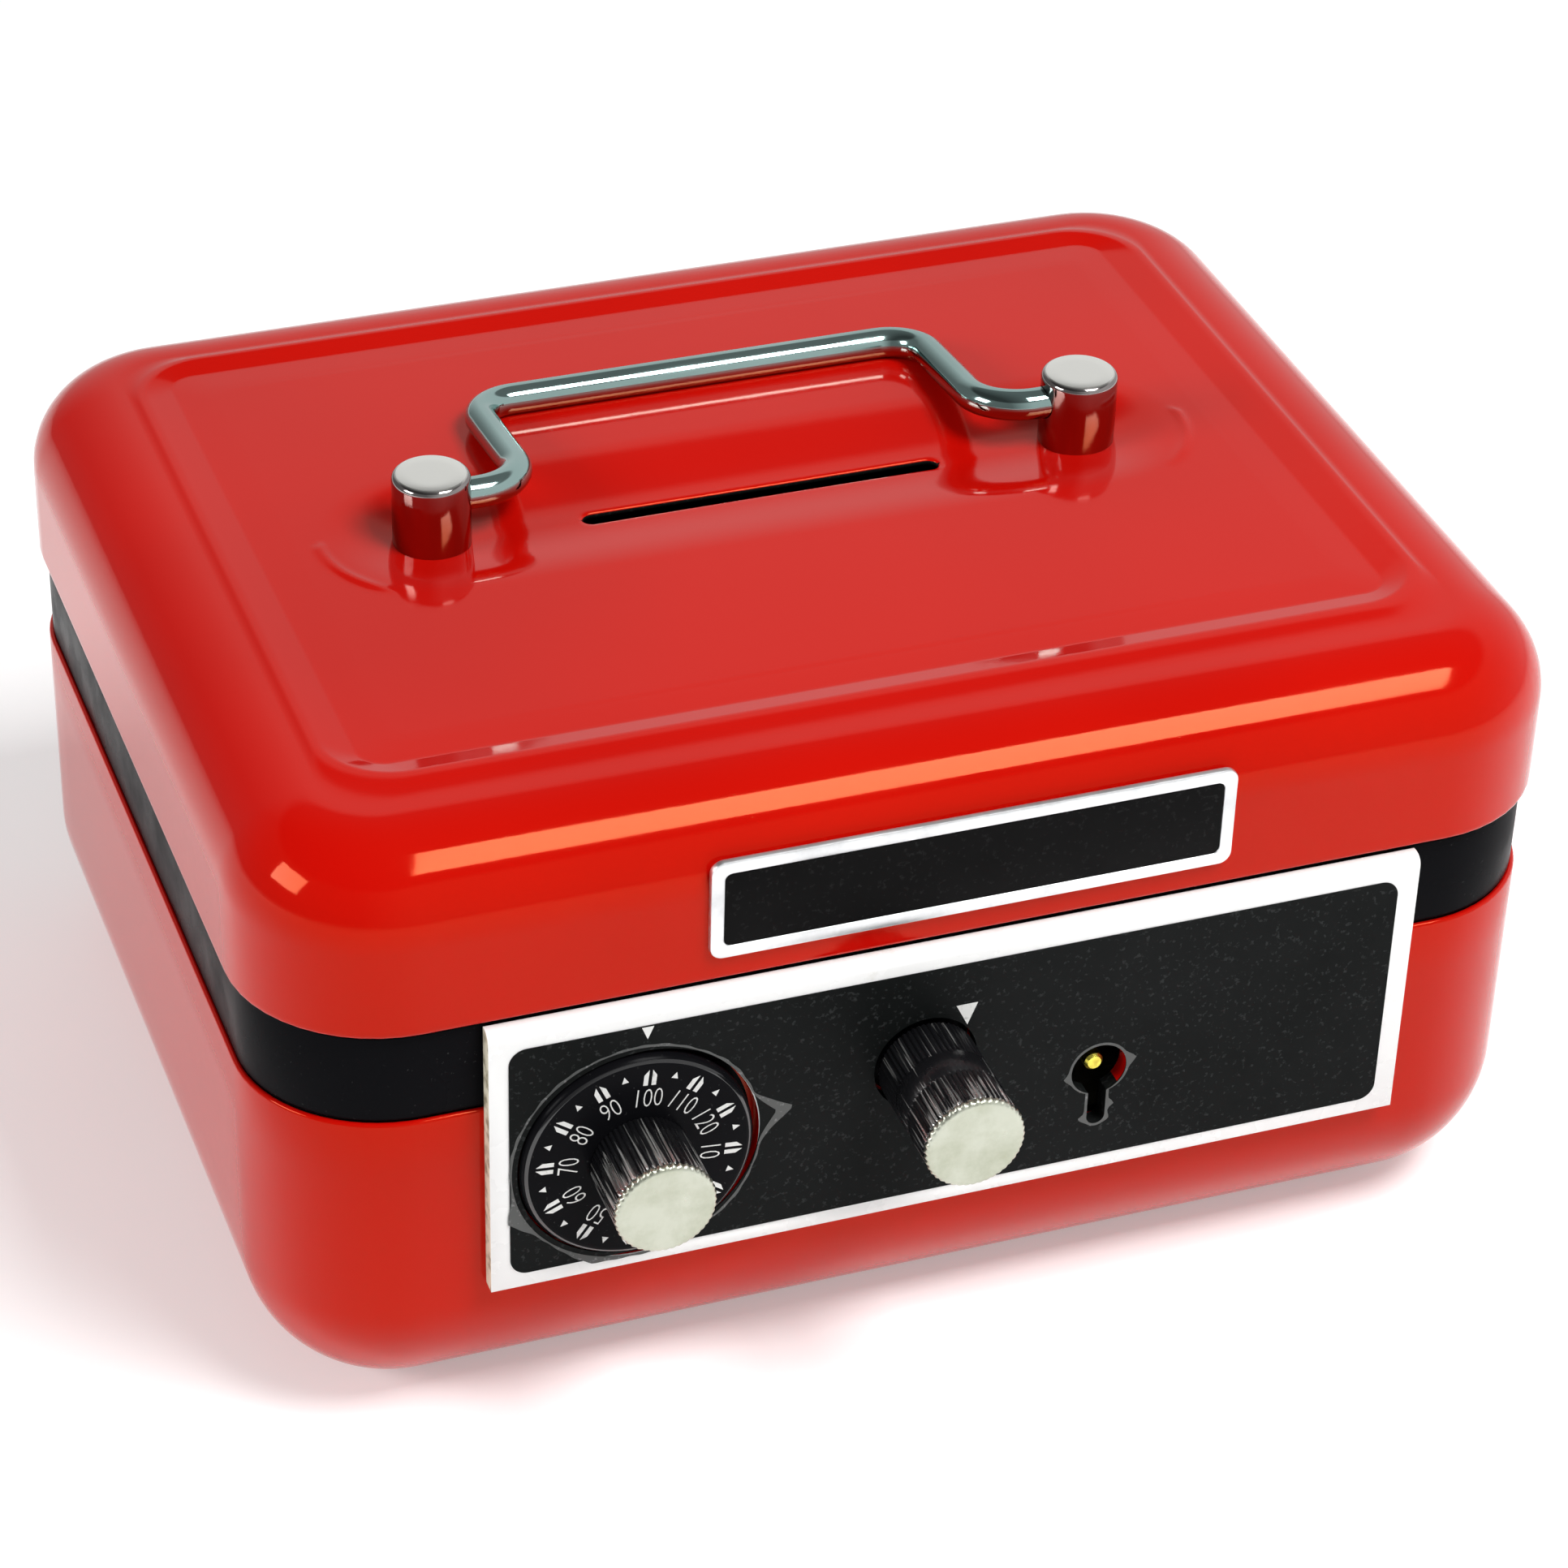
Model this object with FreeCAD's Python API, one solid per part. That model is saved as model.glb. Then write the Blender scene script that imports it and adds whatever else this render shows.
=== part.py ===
"""Pressed-steel cash box with a bail handle, a combination dial, a push knob and a key lock.

Millimetres. X runs to the right, Y to the back, Z up. The origin is the centre of the base's underside.
"""
import FreeCAD, Part
import math
import os

from FreeCAD import Placement, Rotation, Vector

# Overall box
box_width = 152.0
box_depth = 121.4
corner_radius = 17.0
sheet = 0.8

# Heights
base_top = 43.0
lid_bottom = 54.6
lid_top = 76.7
shoulder_radius = 10.5

# Insets from the lid's outer face
base_inset = 0.4
band_inset = 0.9
lip_inset = 1.6
rim_inner_inset = 2.6

# Rim frame
band_gap = 0.25
lip_top = 58.5
skirt_bottom = 37.0
skirt_gap = 0.05

# Lid relief: outer bend, crease, and the panel inside it
bend_half_x = 63.5
bend_front = -45.0
bend_back = 48.4
bend_corner = 9.0
crease_half_x = 59.4
crease_front = -41.0
crease_back = 45.3
crease_corner = 3.0
crease_depth = 1.9
panel_rise = 0.5
panel_slope = 2.4
dish_radius = 11.0
dish_slope = 2.0
dish_depth = 0.8

# Coin slot
slot_half_length = 22.0
slot_width = 2.8
slot_y = 1.6

# Handle
post_x = 39.3
post_y = 2.3
post_radius = 4.5
post_height = 9.0
post_chamfer = 0.7
wire_radius = 1.85
wire_height = 5.6
wire_play = 0.1
wire_end_x = 38.8
wire_end_gap = 0.4
bail_arm_x = 27.8
bail_reach = 23.6
bail_inner_bend = 6.0
bail_outer_bend = 5.0
bail_lid_gap = 0.3
post_bore_depth = 3.2
screw_radius = 1.5
screw_play = 0.05
screw_end_gap = 0.3
screw_head_radius = 2.8
screw_head_height = 2.0

# Name plate
name_left = -27.8
name_right = 32.3
name_bottom = 57.7
name_top = 70.05
name_thickness = 0.7
name_border = 1.5
name_field_depth = 0.15
name_corner = 1.5

# Front plate and its film
plate_left = -52.5
plate_right = 55.4
plate_bottom = 19.2
plate_top = 54.05
plate_thickness = 1.9
plate_roll = 1.3
label_left = -50.3
label_right = 52.9
label_bottom = 21.1
label_top = 51.5
label_thickness = 0.15
label_corner = 2.0

# Dial
dial_x = -36.05
dial_z = 34.7
dial_radius = 13.2
dial_thickness = 1.8
dial_stand = 1.0
dial_bevel = 0.9
dial_hole_radius = 14.0
dial_wall_hole_radius = 13.6
dial_knob_length = 8.4

# Push knob
push_x = -2.9
push_z = 39.1
push_knob_length = 14.0
push_travel = 2.6
push_stand = 0.15
push_hole_radius = 6.0
push_band_start = 5.2
push_band_length = 3.6

# Both knobs
knob_radius = 5.65
knurl_count = 30
knurl_depth = 0.35
cap_thickness = 0.9
cap_overhang = 0.1
knob_bore_start = 2.0
spindle_radius = 2.0
spindle_play = 0.05
spindle_end_gap = 0.5
fixed_play = 0.02

# Keyhole
key_x = 18.0
key_z = 33.3
keyhole_radius = 3.3
keyhole_slot_width = 2.2
keyhole_slot_bottom = 25.7
key_pin_radius = 1.1
key_pin_set_back = 1.2
key_window_margin = 0.6

# Lock
lock_plate_left = -58.5
lock_plate_right = 48.5
lock_plate_bottom = 20.0
lock_plate_top = 42.7
lock_plate_thickness = 1.2
cover_left = -54.0
cover_right = 44.0
cover_bottom = 18.6
cover_top = 48.8
cover_depth = 13.5
cover_flange = 4.0
cover_rim_gap = 0.1
ear_width = 4.2
ear_bottom = 24.0
ear_top = 38.0
wheel_gap = 0.6
wheel_radius = 11.6
wheel_wall = 1.2
wheel_disc = 1.9
wheel_depth = 5.9
spindle_tail = 0.6
gate_width = 8.0
bolt_throw = 5.0
bolt_gap = 0.6
bolt_thickness = 2.0
bolt_left = 4.6
bolt_right = 24.0
bolt_head_right = 30.0
bolt_bottom = 40.0
bolt_top = 48.0
bolt_head_bottom = 44.9
talon_width = 4.8
talon_depth = 2.4
stump_xs = (12.5, 22.0)
stump_z = 46.0
stump_size = 2.2
stump_shoulder = 0.8
stump_reach = 0.4
stump_play = 0.1

# Catch plate under the lid's front wall
catch_thickness = 1.2
catch_left = -42.0
catch_right = 39.0
catch_strip_bottom = 60.5
catch_strip_top = 66.0
catch_set_in = 3.5
dial_tongue_width = 6.0
dial_tongue_step = 49.8
dial_tongue_bottom = 42.7
dial_foot_length = 3.8
dial_neck_gap = 0.8
latch_tongue_width = 11.0
latch_tongue_bottom = 43.2
latch_window_width = 6.4
latch_window_bottom = 44.6
latch_window_top = 48.2
bolt_tongue_left = 30.8
bolt_tongue_width = 7.0
bolt_tongue_bottom = 43.0
bolt_foot_length = 4.6

# Latch hook on the push rod
hook_gap = 1.2
hook_width = 8.0
hook_thickness = 1.6
hook_bottom = 35.4
hook_top = 47.6
nose_width = 5.0
nose_bottom = 45.0
nose_reach = 1.0
nose_set_down = 0.4
nose_wedge = 0.9
nose_flat = 0.2
rod_tail = 1.6

# Return spring behind the latch hook
spring_mean_radius = 3.0
spring_wire = 0.6
spring_turns = 3
spring_end_gap = 0.1

# Hinges
hinge_xs = {"left": -45.0, "right": 45.0}
hinge_width = 26.0
hinge_axis_out = 2.35
hinge_axis_z = 54.0
knuckle_radius = 2.1
lid_knuckle_half = 4.3
knuckle_gap = 0.3
knuckle_room = 0.6
strap_rise = 0.4
hinge_pin_radius = 1.0
hinge_pin_play = 0.05
leaf_thickness = 1.0
base_leaf_thickness = 1.2
base_leaf_bottom = 45.0
base_leaf_top = 53.5
lid_leaf_bottom = 57.0
lid_leaf_top = 65.6

# Derived planes
half_width = box_width / 2
half_depth = box_depth / 2
lid_front = -half_depth
base_front = lid_front + base_inset
base_inner_front = base_front + sheet
rim_front = lid_front + rim_inner_inset
plate_front = base_front - plate_thickness
label_front = plate_front - label_thickness
lock_plate_back = base_inner_front + lock_plate_thickness
cover_back = lock_plate_back + cover_depth
panel_z = lid_top - crease_depth + panel_rise
dish_z = panel_z - dish_depth
post_top = dish_z + post_height
wire_z = dish_z + wire_height
dial_face = label_front - dial_stand
dial_back = dial_face + dial_thickness
wheel_front = lock_plate_back + wheel_gap
tongue_front = lid_front + catch_set_in
tongue_back = tongue_front + catch_thickness
bolt_front = tongue_back + bolt_gap
hinge_axis_y = half_depth + hinge_axis_out


def box(x0, x1, y0, y1, z0, z1):
    return Part.makeBox(x1 - x0, y1 - y0, z1 - z0, Vector(x0, y0, z0))


def along_x(radius, x0, x1, y, z):
    return Part.makeCylinder(radius, x1 - x0, Vector(x0, y, z), Vector(1, 0, 0))


def along_y(radius, y0, y1, x, z):
    return Part.makeCylinder(radius, y1 - y0, Vector(x, y0, z), Vector(0, 1, 0))


def along_z(radius, z0, z1, x, y):
    return Part.makeCylinder(radius, z1 - z0, Vector(x, y, z0), Vector(0, 0, 1))


def rounded_wire(x0, x1, y0, y1, radius, z):
    """Rectangle with round corners, flat at height z."""
    corners = ((x1, y1, 0), (x0, y1, 90), (x0, y0, 180), (x1, y0, 270))
    arcs = []
    for x, y, start in corners:
        centre_x = x - math.copysign(radius, x - x0 - (x1 - x0) / 2)
        centre_y = y - math.copysign(radius, y - y0 - (y1 - y0) / 2)
        circle = Part.Circle(Vector(centre_x, centre_y, z), Vector(0, 0, 1), radius)
        arcs.append(Part.Arc(circle, math.radians(start), math.radians(start + 90)))
    edges = []
    for index, arc in enumerate(arcs):
        following = arcs[(index + 1) % len(arcs)]
        edges.append(arc.toShape())
        edges.append(Part.LineSegment(arc.EndPoint, following.StartPoint).toShape())
    return Part.Wire(edges)


def rounded_block(inset, z0, z1):
    """Block with the box's plan, inset from the lid's outer face."""
    wire = rounded_wire(-half_width + inset, half_width - inset, -half_depth + inset, half_depth - inset,
                        corner_radius - inset, z0)
    return Part.Face(wire).extrude(Vector(0, 0, z1 - z0))


def upright_plate(x0, x1, z0, z1, radius, front, thickness):
    """Plate facing the front, with round corners."""
    wire = rounded_wire(x0, x1, z0, z1, radius, 0)
    plate = Part.Face(wire).extrude(Vector(0, 0, -thickness))
    plate.Placement = Placement(Vector(0, front, 0), Rotation(Vector(1, 0, 0), 90))
    return plate


def edges_at_height(shape, z):
    return [edge for edge in shape.Edges
            if abs(edge.BoundBox.ZMin - z) < 1e-6 and edge.BoundBox.ZLength < 1e-6]


def keyhole(y0, y1):
    """Round keyhole with a slot below it."""
    half_slot = keyhole_slot_width / 2
    round_part = along_y(keyhole_radius, y0, y1, key_x, key_z)
    return round_part.fuse(box(key_x - half_slot, key_x + half_slot, y0, y1, keyhole_slot_bottom, key_z))


def key_window(y0, y1):
    """Plain window round the keyhole, for the sheets behind the front plate."""
    side = keyhole_radius + key_window_margin
    return box(key_x - side, key_x + side, y0, y1, keyhole_slot_bottom - key_window_margin, key_z + side)


def round_holes(y0, y1, dial_hole, push_hole):
    return [along_y(dial_hole, y0, y1, dial_x, dial_z), along_y(push_hole, y0, y1, push_x, push_z)]


def knurled(radius, y0, y1, x, z):
    """Cylinder along Y whose side is cut into fine ridges."""
    points = []
    for step in range(2 * knurl_count):
        ridge = radius if step % 2 == 0 else radius - knurl_depth
        angle = math.pi * step / knurl_count
        points.append(Vector(x + ridge * math.cos(angle), y0, z + ridge * math.sin(angle)))
    points.append(points[0])
    return Part.Face(Part.makePolygon(points)).extrude(Vector(0, y1 - y0, 0))


def tub(inset, floor):
    """Block with one radius on its upright edges and round its floor."""
    block = box(-half_width + inset, half_width - inset, -half_depth + inset, half_depth - inset,
                floor, base_top)
    rounded = [edge for edge in block.Edges if edge.BoundBox.ZMin < floor + 1e-6]
    return block.makeFillet(corner_radius - inset, rounded)


def base_shell():
    shell = tub(base_inset, 0).cut(tub(base_inset + sheet, sheet))
    front = base_front - 1
    back = base_inner_front + 1
    holes = round_holes(front, back, dial_wall_hole_radius, push_hole_radius)
    return shell.cut(holes + [key_window(front, back)])


def rim_frame():
    band = rounded_block(band_inset, base_top, lid_bottom - band_gap)
    lip = rounded_block(lip_inset, lid_bottom - band_gap, lip_top)
    skirt = rounded_block(base_inset + sheet + skirt_gap, skirt_bottom, base_top)
    frame = band.fuse([lip, skirt]).cut(rounded_block(rim_inner_inset, skirt_bottom - 1, lip_top + 1))
    lock_gap = box(lock_plate_left - 1, lock_plate_right + 1, lid_front, lid_front + 10,
                   skirt_bottom - 1, base_top)
    return frame.cut(lock_gap).removeSplitter()


def lid_form(shrink):
    """Outer form of the lid, or the form of its hollow when shrunk by the sheet's thickness."""
    block = rounded_block(shrink, lid_bottom - shrink, lid_top - shrink)
    block = block.makeFillet(shoulder_radius - shrink, edges_at_height(block, lid_top - shrink))
    crease_z = lid_top - crease_depth - shrink
    bend = rounded_wire(-bend_half_x - shrink, bend_half_x + shrink, bend_front - shrink, bend_back + shrink,
                        bend_corner + shrink, lid_top - shrink)
    crease = rounded_wire(-crease_half_x - shrink, crease_half_x + shrink, crease_front - shrink,
                          crease_back + shrink, crease_corner + shrink, crease_z)
    block = block.cut(Part.makeLoft([crease, bend], True, True))
    inside = panel_slope - shrink
    panel_edge = rounded_wire(-crease_half_x + inside, crease_half_x - inside, crease_front + inside,
                              crease_back - inside, crease_corner, panel_z - shrink)
    block = block.fuse(Part.makeLoft([crease, panel_edge], True, True))
    dish = []
    for radius, z in ((dish_radius, dish_z - shrink), (dish_radius + dish_slope, panel_z - shrink)):
        reach = post_x + radius + shrink
        dish.append(rounded_wire(-reach, reach, post_y - radius - shrink, post_y + radius + shrink,
                                 radius + shrink - 0.01, z))
    return block.cut(Part.makeLoft(dish, True, True))


def lid_shell():
    shell = lid_form(0).cut(lid_form(sheet))
    slot = Part.Face(rounded_wire(-slot_half_length, slot_half_length, slot_y - slot_width / 2,
                                  slot_y + slot_width / 2, slot_width / 2 - 0.01, dish_z - 5))
    cutters = [slot.extrude(Vector(0, 0, 10))]
    for side in (-1, 1):
        cutters.append(along_z(screw_radius + screw_play, dish_z - 5, dish_z + 5, side * post_x, post_y))
    return shell.cut(cutters).removeSplitter()


def handle_post(side):
    """Chrome post with a blind cross hole on its inner side for the handle's wire."""
    x = side * post_x
    post = along_z(post_radius, dish_z, post_top, x, post_y)
    post = post.makeChamfer(post_chamfer, edges_at_height(post, post_top))
    inner_face = side * (post_x - post_radius - 1)
    hole_end = side * (wire_end_x + wire_end_gap)
    cross_hole = along_x(wire_radius + wire_play, min(inner_face, hole_end), max(inner_face, hole_end),
                         post_y, wire_z)
    screw_bore = along_z(screw_radius + screw_play, dish_z - 1, dish_z + post_bore_depth, x, post_y)
    return post.cut([cross_hole, screw_bore])


def hexagon(radius, x, y, z):
    turns = [math.radians(60 * step) for step in range(7)]
    corners = [Vector(x + radius * math.cos(turn), y + radius * math.sin(turn), z) for turn in turns]
    return Part.makePolygon(corners)


def post_screws():
    screws = []
    head_top = dish_z - sheet
    for side in (-1, 1):
        shank_top = dish_z + post_bore_depth - screw_end_gap
        shank = along_z(screw_radius, head_top, shank_top, side * post_x, post_y)
        head = Part.Face(hexagon(screw_head_radius, side * post_x, post_y, head_top))
        screws.append(shank.fuse(head.extrude(Vector(0, 0, -screw_head_height))))
    return Part.makeCompound(screws)


def mirrored(point):
    return Vector(-point.x, point.y, point.z)


def handle_bail():
    """Bent wire: out of the post, round to the arm, round again to the grip, and the same in mirror."""
    inner_start = bail_arm_x + bail_inner_bend
    grip_end = bail_arm_x - bail_outer_bend
    arm_end = bail_reach - bail_outer_bend
    half_turn = math.sqrt(0.5)
    inner_mid = Vector(inner_start - bail_inner_bend * half_turn, bail_inner_bend * (1 - half_turn), 0)
    outer_mid = Vector(grip_end + bail_outer_bend * half_turn, arm_end + bail_outer_bend * half_turn, 0)
    right = [
        (Vector(wire_end_x, 0, 0), None, Vector(inner_start, 0, 0)),
        (Vector(inner_start, 0, 0), inner_mid, Vector(bail_arm_x, bail_inner_bend, 0)),
        (Vector(bail_arm_x, bail_inner_bend, 0), None, Vector(bail_arm_x, arm_end, 0)),
        (Vector(bail_arm_x, arm_end, 0), outer_mid, Vector(grip_end, bail_reach, 0)),
    ]
    left = [(mirrored(end), middle and mirrored(middle), mirrored(start))
            for start, middle, end in reversed(right)]
    grip = [(Vector(grip_end, bail_reach, 0), None, Vector(-grip_end, bail_reach, 0))]
    edges = []
    for start, middle, end in right + grip + left:
        curve = Part.Arc(start, middle, end) if middle else Part.LineSegment(start, end)
        edges.append(curve.toShape())
    section = Part.Wire(Part.makeCircle(wire_radius, Vector(wire_end_x, 0, 0), Vector(1, 0, 0)))
    bail = Part.Wire(edges).makePipeShell([section], True, False)
    drop = wire_z - panel_z - wire_radius - bail_lid_gap
    tilt = math.degrees(math.asin(drop / bail_reach))
    bail.Placement = Placement(Vector(0, post_y, wire_z), Rotation(Vector(1, 0, 0), -tilt))
    return bail


def name_plate():
    plate = upright_plate(name_left, name_right, name_bottom, name_top, name_corner, lid_front,
                          -name_thickness)
    field = upright_plate(name_left + name_border, name_right - name_border, name_bottom + name_border,
                          name_top - name_border, name_corner - 0.5, lid_front - name_thickness,
                          name_field_depth)
    return plate.cut(field)


def front_plate():
    plate = box(plate_left, plate_right, plate_front, base_front, plate_bottom, plate_top)
    roll = [edge for edge in plate.Edges if edge.BoundBox.YMax < plate_front + 1e-6
            and edge.BoundBox.ZMin > plate_top - 1e-6]
    plate = plate.makeFillet(plate_roll, roll)
    front = plate_front - 1
    back = base_front + 1
    return plate.cut(round_holes(front, back, dial_hole_radius, push_hole_radius) + [keyhole(front, back)])


def front_label():
    film = upright_plate(label_left, label_right, label_bottom, label_top, label_corner, plate_front,
                         -label_thickness)
    front = label_front - 1
    back = plate_front + 1
    return film.cut(round_holes(front, back, dial_hole_radius, push_hole_radius) + [keyhole(front, back)])


def dial_disc():
    disc = along_y(dial_radius, dial_face, dial_back, dial_x, dial_z)
    rim = [edge for edge in disc.Edges if edge.BoundBox.YMax < dial_face + 1e-6]
    disc = disc.makeChamfer(dial_bevel, rim)
    return disc.cut(along_y(spindle_radius + fixed_play, dial_face - 1, dial_back + 1, dial_x, dial_z))


def dial_knob():
    knob = knurled(knob_radius, dial_face - dial_knob_length, dial_face, dial_x, dial_z)
    bore_start = dial_face - dial_knob_length + knob_bore_start
    bore = along_y(spindle_radius + fixed_play, bore_start, dial_face + 1, dial_x, dial_z)
    return knob.cut(bore)


def knob_cap(x, z, knob_front):
    """Metal cap whose ridged rim carries on the knob's knurling."""
    return knurled(knob_radius + cap_overhang, knob_front - cap_thickness, knob_front, x, z)


def dial_spindle():
    start = dial_face - dial_knob_length + knob_bore_start + spindle_end_gap
    return along_y(spindle_radius, start, wheel_front + wheel_disc + spindle_tail, dial_x, dial_z)


def combination_wheel():
    """Cup on the dial's shaft. The lid's foot leaves the cup only through the gate in its wall."""
    wall_front = wheel_front + wheel_disc
    wall_back = wheel_front + wheel_depth
    wheel = along_y(wheel_radius, wheel_front, wall_back, dial_x, dial_z)
    hollow = along_y(wheel_radius - wheel_wall, wall_front, wall_back, dial_x, dial_z)
    gate = box(dial_x - gate_width / 2, dial_x + gate_width / 2, wall_front, wall_back + 1,
               dial_z, dial_z + wheel_radius + 1)
    bore = along_y(spindle_radius + fixed_play, wheel_front - 1, wall_back + 1, dial_x, dial_z)
    return wheel.cut([hollow, gate, bore])


def push_rear():
    return label_front - push_stand


def push_front():
    return push_rear() - push_knob_length


def push_knob():
    """Long knob with a knurled grip at each end and a smooth band between."""
    band_start = push_front() + push_band_start
    band_end = band_start + push_band_length
    front_grip = knurled(knob_radius, push_front(), band_start, push_x, push_z)
    band = along_y(knob_radius, band_start, band_end, push_x, push_z)
    rear_grip = knurled(knob_radius, band_end, push_rear(), push_x, push_z)
    bore_start = push_front() + knob_bore_start
    bore = along_y(spindle_radius + fixed_play, bore_start, push_rear() + 1, push_x, push_z)
    return front_grip.fuse([band, rear_grip]).cut(bore)


def hook_front():
    return tongue_back + push_travel + hook_gap


def push_rod():
    end = hook_front() + hook_thickness + rod_tail
    return along_y(spindle_radius, push_front() + knob_bore_start + spindle_end_gap, end, push_x, push_z)


def latch_hook():
    """Arm on the push rod with a wedge-shaped nose that snaps into the window of the lid's tongue."""
    front = hook_front()
    half_width_of_hook = hook_width / 2
    arm = box(push_x - half_width_of_hook, push_x + half_width_of_hook, front, front + hook_thickness,
              hook_bottom, hook_top)
    tip = tongue_back - nose_reach
    nose_top = hook_top - nose_set_down
    middle = (nose_bottom + nose_top) / 2
    outline = [(front, nose_bottom), (tip + nose_wedge, nose_bottom), (tip, middle - nose_flat),
               (tip, middle + nose_flat), (tip + nose_wedge, nose_top), (front, nose_top),
               (front, nose_bottom)]
    side = push_x - nose_width / 2
    nose_side = Part.Face(Part.makePolygon([Vector(side, y, z) for y, z in outline]))
    nose = nose_side.extrude(Vector(nose_width, 0, 0))
    bore = along_y(spindle_radius + fixed_play, front - 1, front + hook_thickness + 1, push_x, push_z)
    return arm.fuse(nose).cut(bore)


def push_spring():
    """Compression spring of square wire between the latch hook and the lock cover."""
    start = hook_front() + hook_thickness + spring_wire / 2 + spring_end_gap
    end = cover_back - sheet - spring_wire / 2 - spring_end_gap
    length = end - start
    pitch = length / spring_turns
    print(f"push_spring: {pitch - spring_wire:.2f} mm between its turns at rest")
    helix = Part.makeHelix(pitch, length, spring_mean_radius)
    half = spring_wire / 2
    square = ((half, half), (-half, half), (-half, -half), (half, -half), (half, half))
    section = Part.makePolygon([Vector(spring_mean_radius + x, 0, z) for x, z in square])
    spring = Part.Wire(helix.Edges).makePipeShell([section], True, True)
    spring.Placement = Placement(Vector(push_x, end, push_z), Rotation(Vector(1, 0, 0), 90))
    return spring


def lock_plate():
    plate = box(lock_plate_left, lock_plate_right, base_inner_front, lock_plate_back,
                lock_plate_bottom, lock_plate_top)
    front = base_inner_front - 1
    back = lock_plate_back + 1
    bearings = [along_y(spindle_radius + spindle_play, front, back, x, z)
                for x, z in ((dial_x, dial_z), (push_x, push_z))]
    return plate.cut(bearings + [key_window(front, back)])


def lock_cover():
    """Pressed cover behind the lock, open at the front and over the tongues, with two ears."""
    outer = box(cover_left, cover_right, lock_plate_back, cover_back, cover_bottom, cover_top)
    hollow = box(cover_left + sheet, cover_right - sheet, lock_plate_back - 1, cover_back - sheet,
                 cover_bottom + sheet, cover_top - sheet)
    mouth = box(cover_left + sheet, cover_right - sheet, lock_plate_back - 1, cover_back - cover_flange,
                cover_top - 2, cover_top + 1)
    rim_room = box(cover_left - 1, cover_right + 1, lock_plate_back - 1, rim_front + cover_rim_gap,
                   lock_plate_top, cover_top + 1)
    ears = []
    for start, end in ((cover_left - ear_width, cover_left), (cover_right, cover_right + ear_width)):
        ears.append(box(start, end, lock_plate_back, lock_plate_back + sheet, ear_bottom, ear_top))
    return outer.cut([hollow, mouth, rim_room]).fuse(ears).removeSplitter()


def key_pin():
    return along_y(key_pin_radius, label_front + key_pin_set_back, cover_back - sheet, key_x, key_z)


def lock_bolt():
    """Flat bolt with a talon for the key and two slots for its stumps."""
    back = bolt_front + bolt_thickness
    bar = box(bolt_left, bolt_right, bolt_front, back, bolt_bottom, bolt_top)
    head = box(bolt_right, bolt_head_right, bolt_front, back, bolt_head_bottom, bolt_top)
    half_talon = talon_width / 2
    talon = box(key_x - half_talon, key_x + half_talon, bolt_front - 1, back + 1,
                bolt_bottom - 1, bolt_bottom + talon_depth)
    half_slot = stump_size / 2 + stump_play
    slots = []
    for x in stump_xs:
        slots.append(box(x - bolt_throw - half_slot, x + half_slot, bolt_front - 1, back + 1,
                         stump_z - half_slot, stump_z + half_slot))
    return bar.fuse(head).cut([talon] + slots).removeSplitter()


def bolt_stumps():
    """Square stumps on the cover's back wall. The bolt's slots ride on them, up to their shoulders."""
    stumps = []
    shoulder_front = bolt_front + bolt_thickness + stump_play
    half = stump_size / 2
    wide = half + stump_shoulder
    for x in stump_xs:
        neck = box(x - half, x + half, bolt_front - stump_reach, shoulder_front,
                   stump_z - half, stump_z + half)
        shoulder = box(x - wide, x + wide, shoulder_front, cover_back - sheet,
                       stump_z - wide, stump_z + wide)
        stumps.append(neck.fuse(shoulder))
    return Part.makeCompound(stumps)


def catch_plate():
    """Strip under the lid's front wall with three tongues: for the dial, the latch and the bolt."""
    inner_wall = lid_front + sheet
    thick = catch_thickness
    strip_bottom = catch_strip_bottom
    strip = box(catch_left, catch_right, inner_wall, inner_wall + thick, strip_bottom, catch_strip_top)
    pieces = [box(catch_left, catch_right, inner_wall, tongue_back, strip_bottom, strip_bottom + thick)]

    left = dial_x - dial_tongue_width / 2
    right = dial_x + dial_tongue_width / 2
    neck_front = wheel_front + wheel_depth + dial_neck_gap
    pieces.append(box(left, right, tongue_front, tongue_back, dial_tongue_step, strip_bottom))
    pieces.append(box(left, right, tongue_front, neck_front + thick, dial_tongue_step,
                      dial_tongue_step + thick))
    pieces.append(box(left, right, neck_front, neck_front + thick, dial_tongue_bottom, dial_tongue_step))
    pieces.append(box(left, right, neck_front - dial_foot_length, neck_front, dial_tongue_bottom,
                      dial_tongue_bottom + thick))

    left = push_x - latch_tongue_width / 2
    right = push_x + latch_tongue_width / 2
    pieces.append(box(left, right, tongue_front, tongue_back, latch_tongue_bottom, strip_bottom))

    left = bolt_tongue_left
    right = bolt_tongue_left + bolt_tongue_width
    pieces.append(box(left, right, tongue_front, tongue_back, bolt_tongue_bottom, strip_bottom))
    pieces.append(box(left, right, tongue_front, tongue_back + bolt_foot_length, bolt_tongue_bottom,
                      bolt_tongue_bottom + thick))

    half_window = latch_window_width / 2
    window = box(push_x - half_window, push_x + half_window, tongue_front - 1, tongue_back + 1,
                 latch_window_bottom, latch_window_top)
    return strip.fuse(pieces).cut(window).removeSplitter()


def knuckle_bore(x):
    radius = hinge_pin_radius + hinge_pin_play
    return along_x(radius, x - hinge_width, x + hinge_width, hinge_axis_y, hinge_axis_z)


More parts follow.
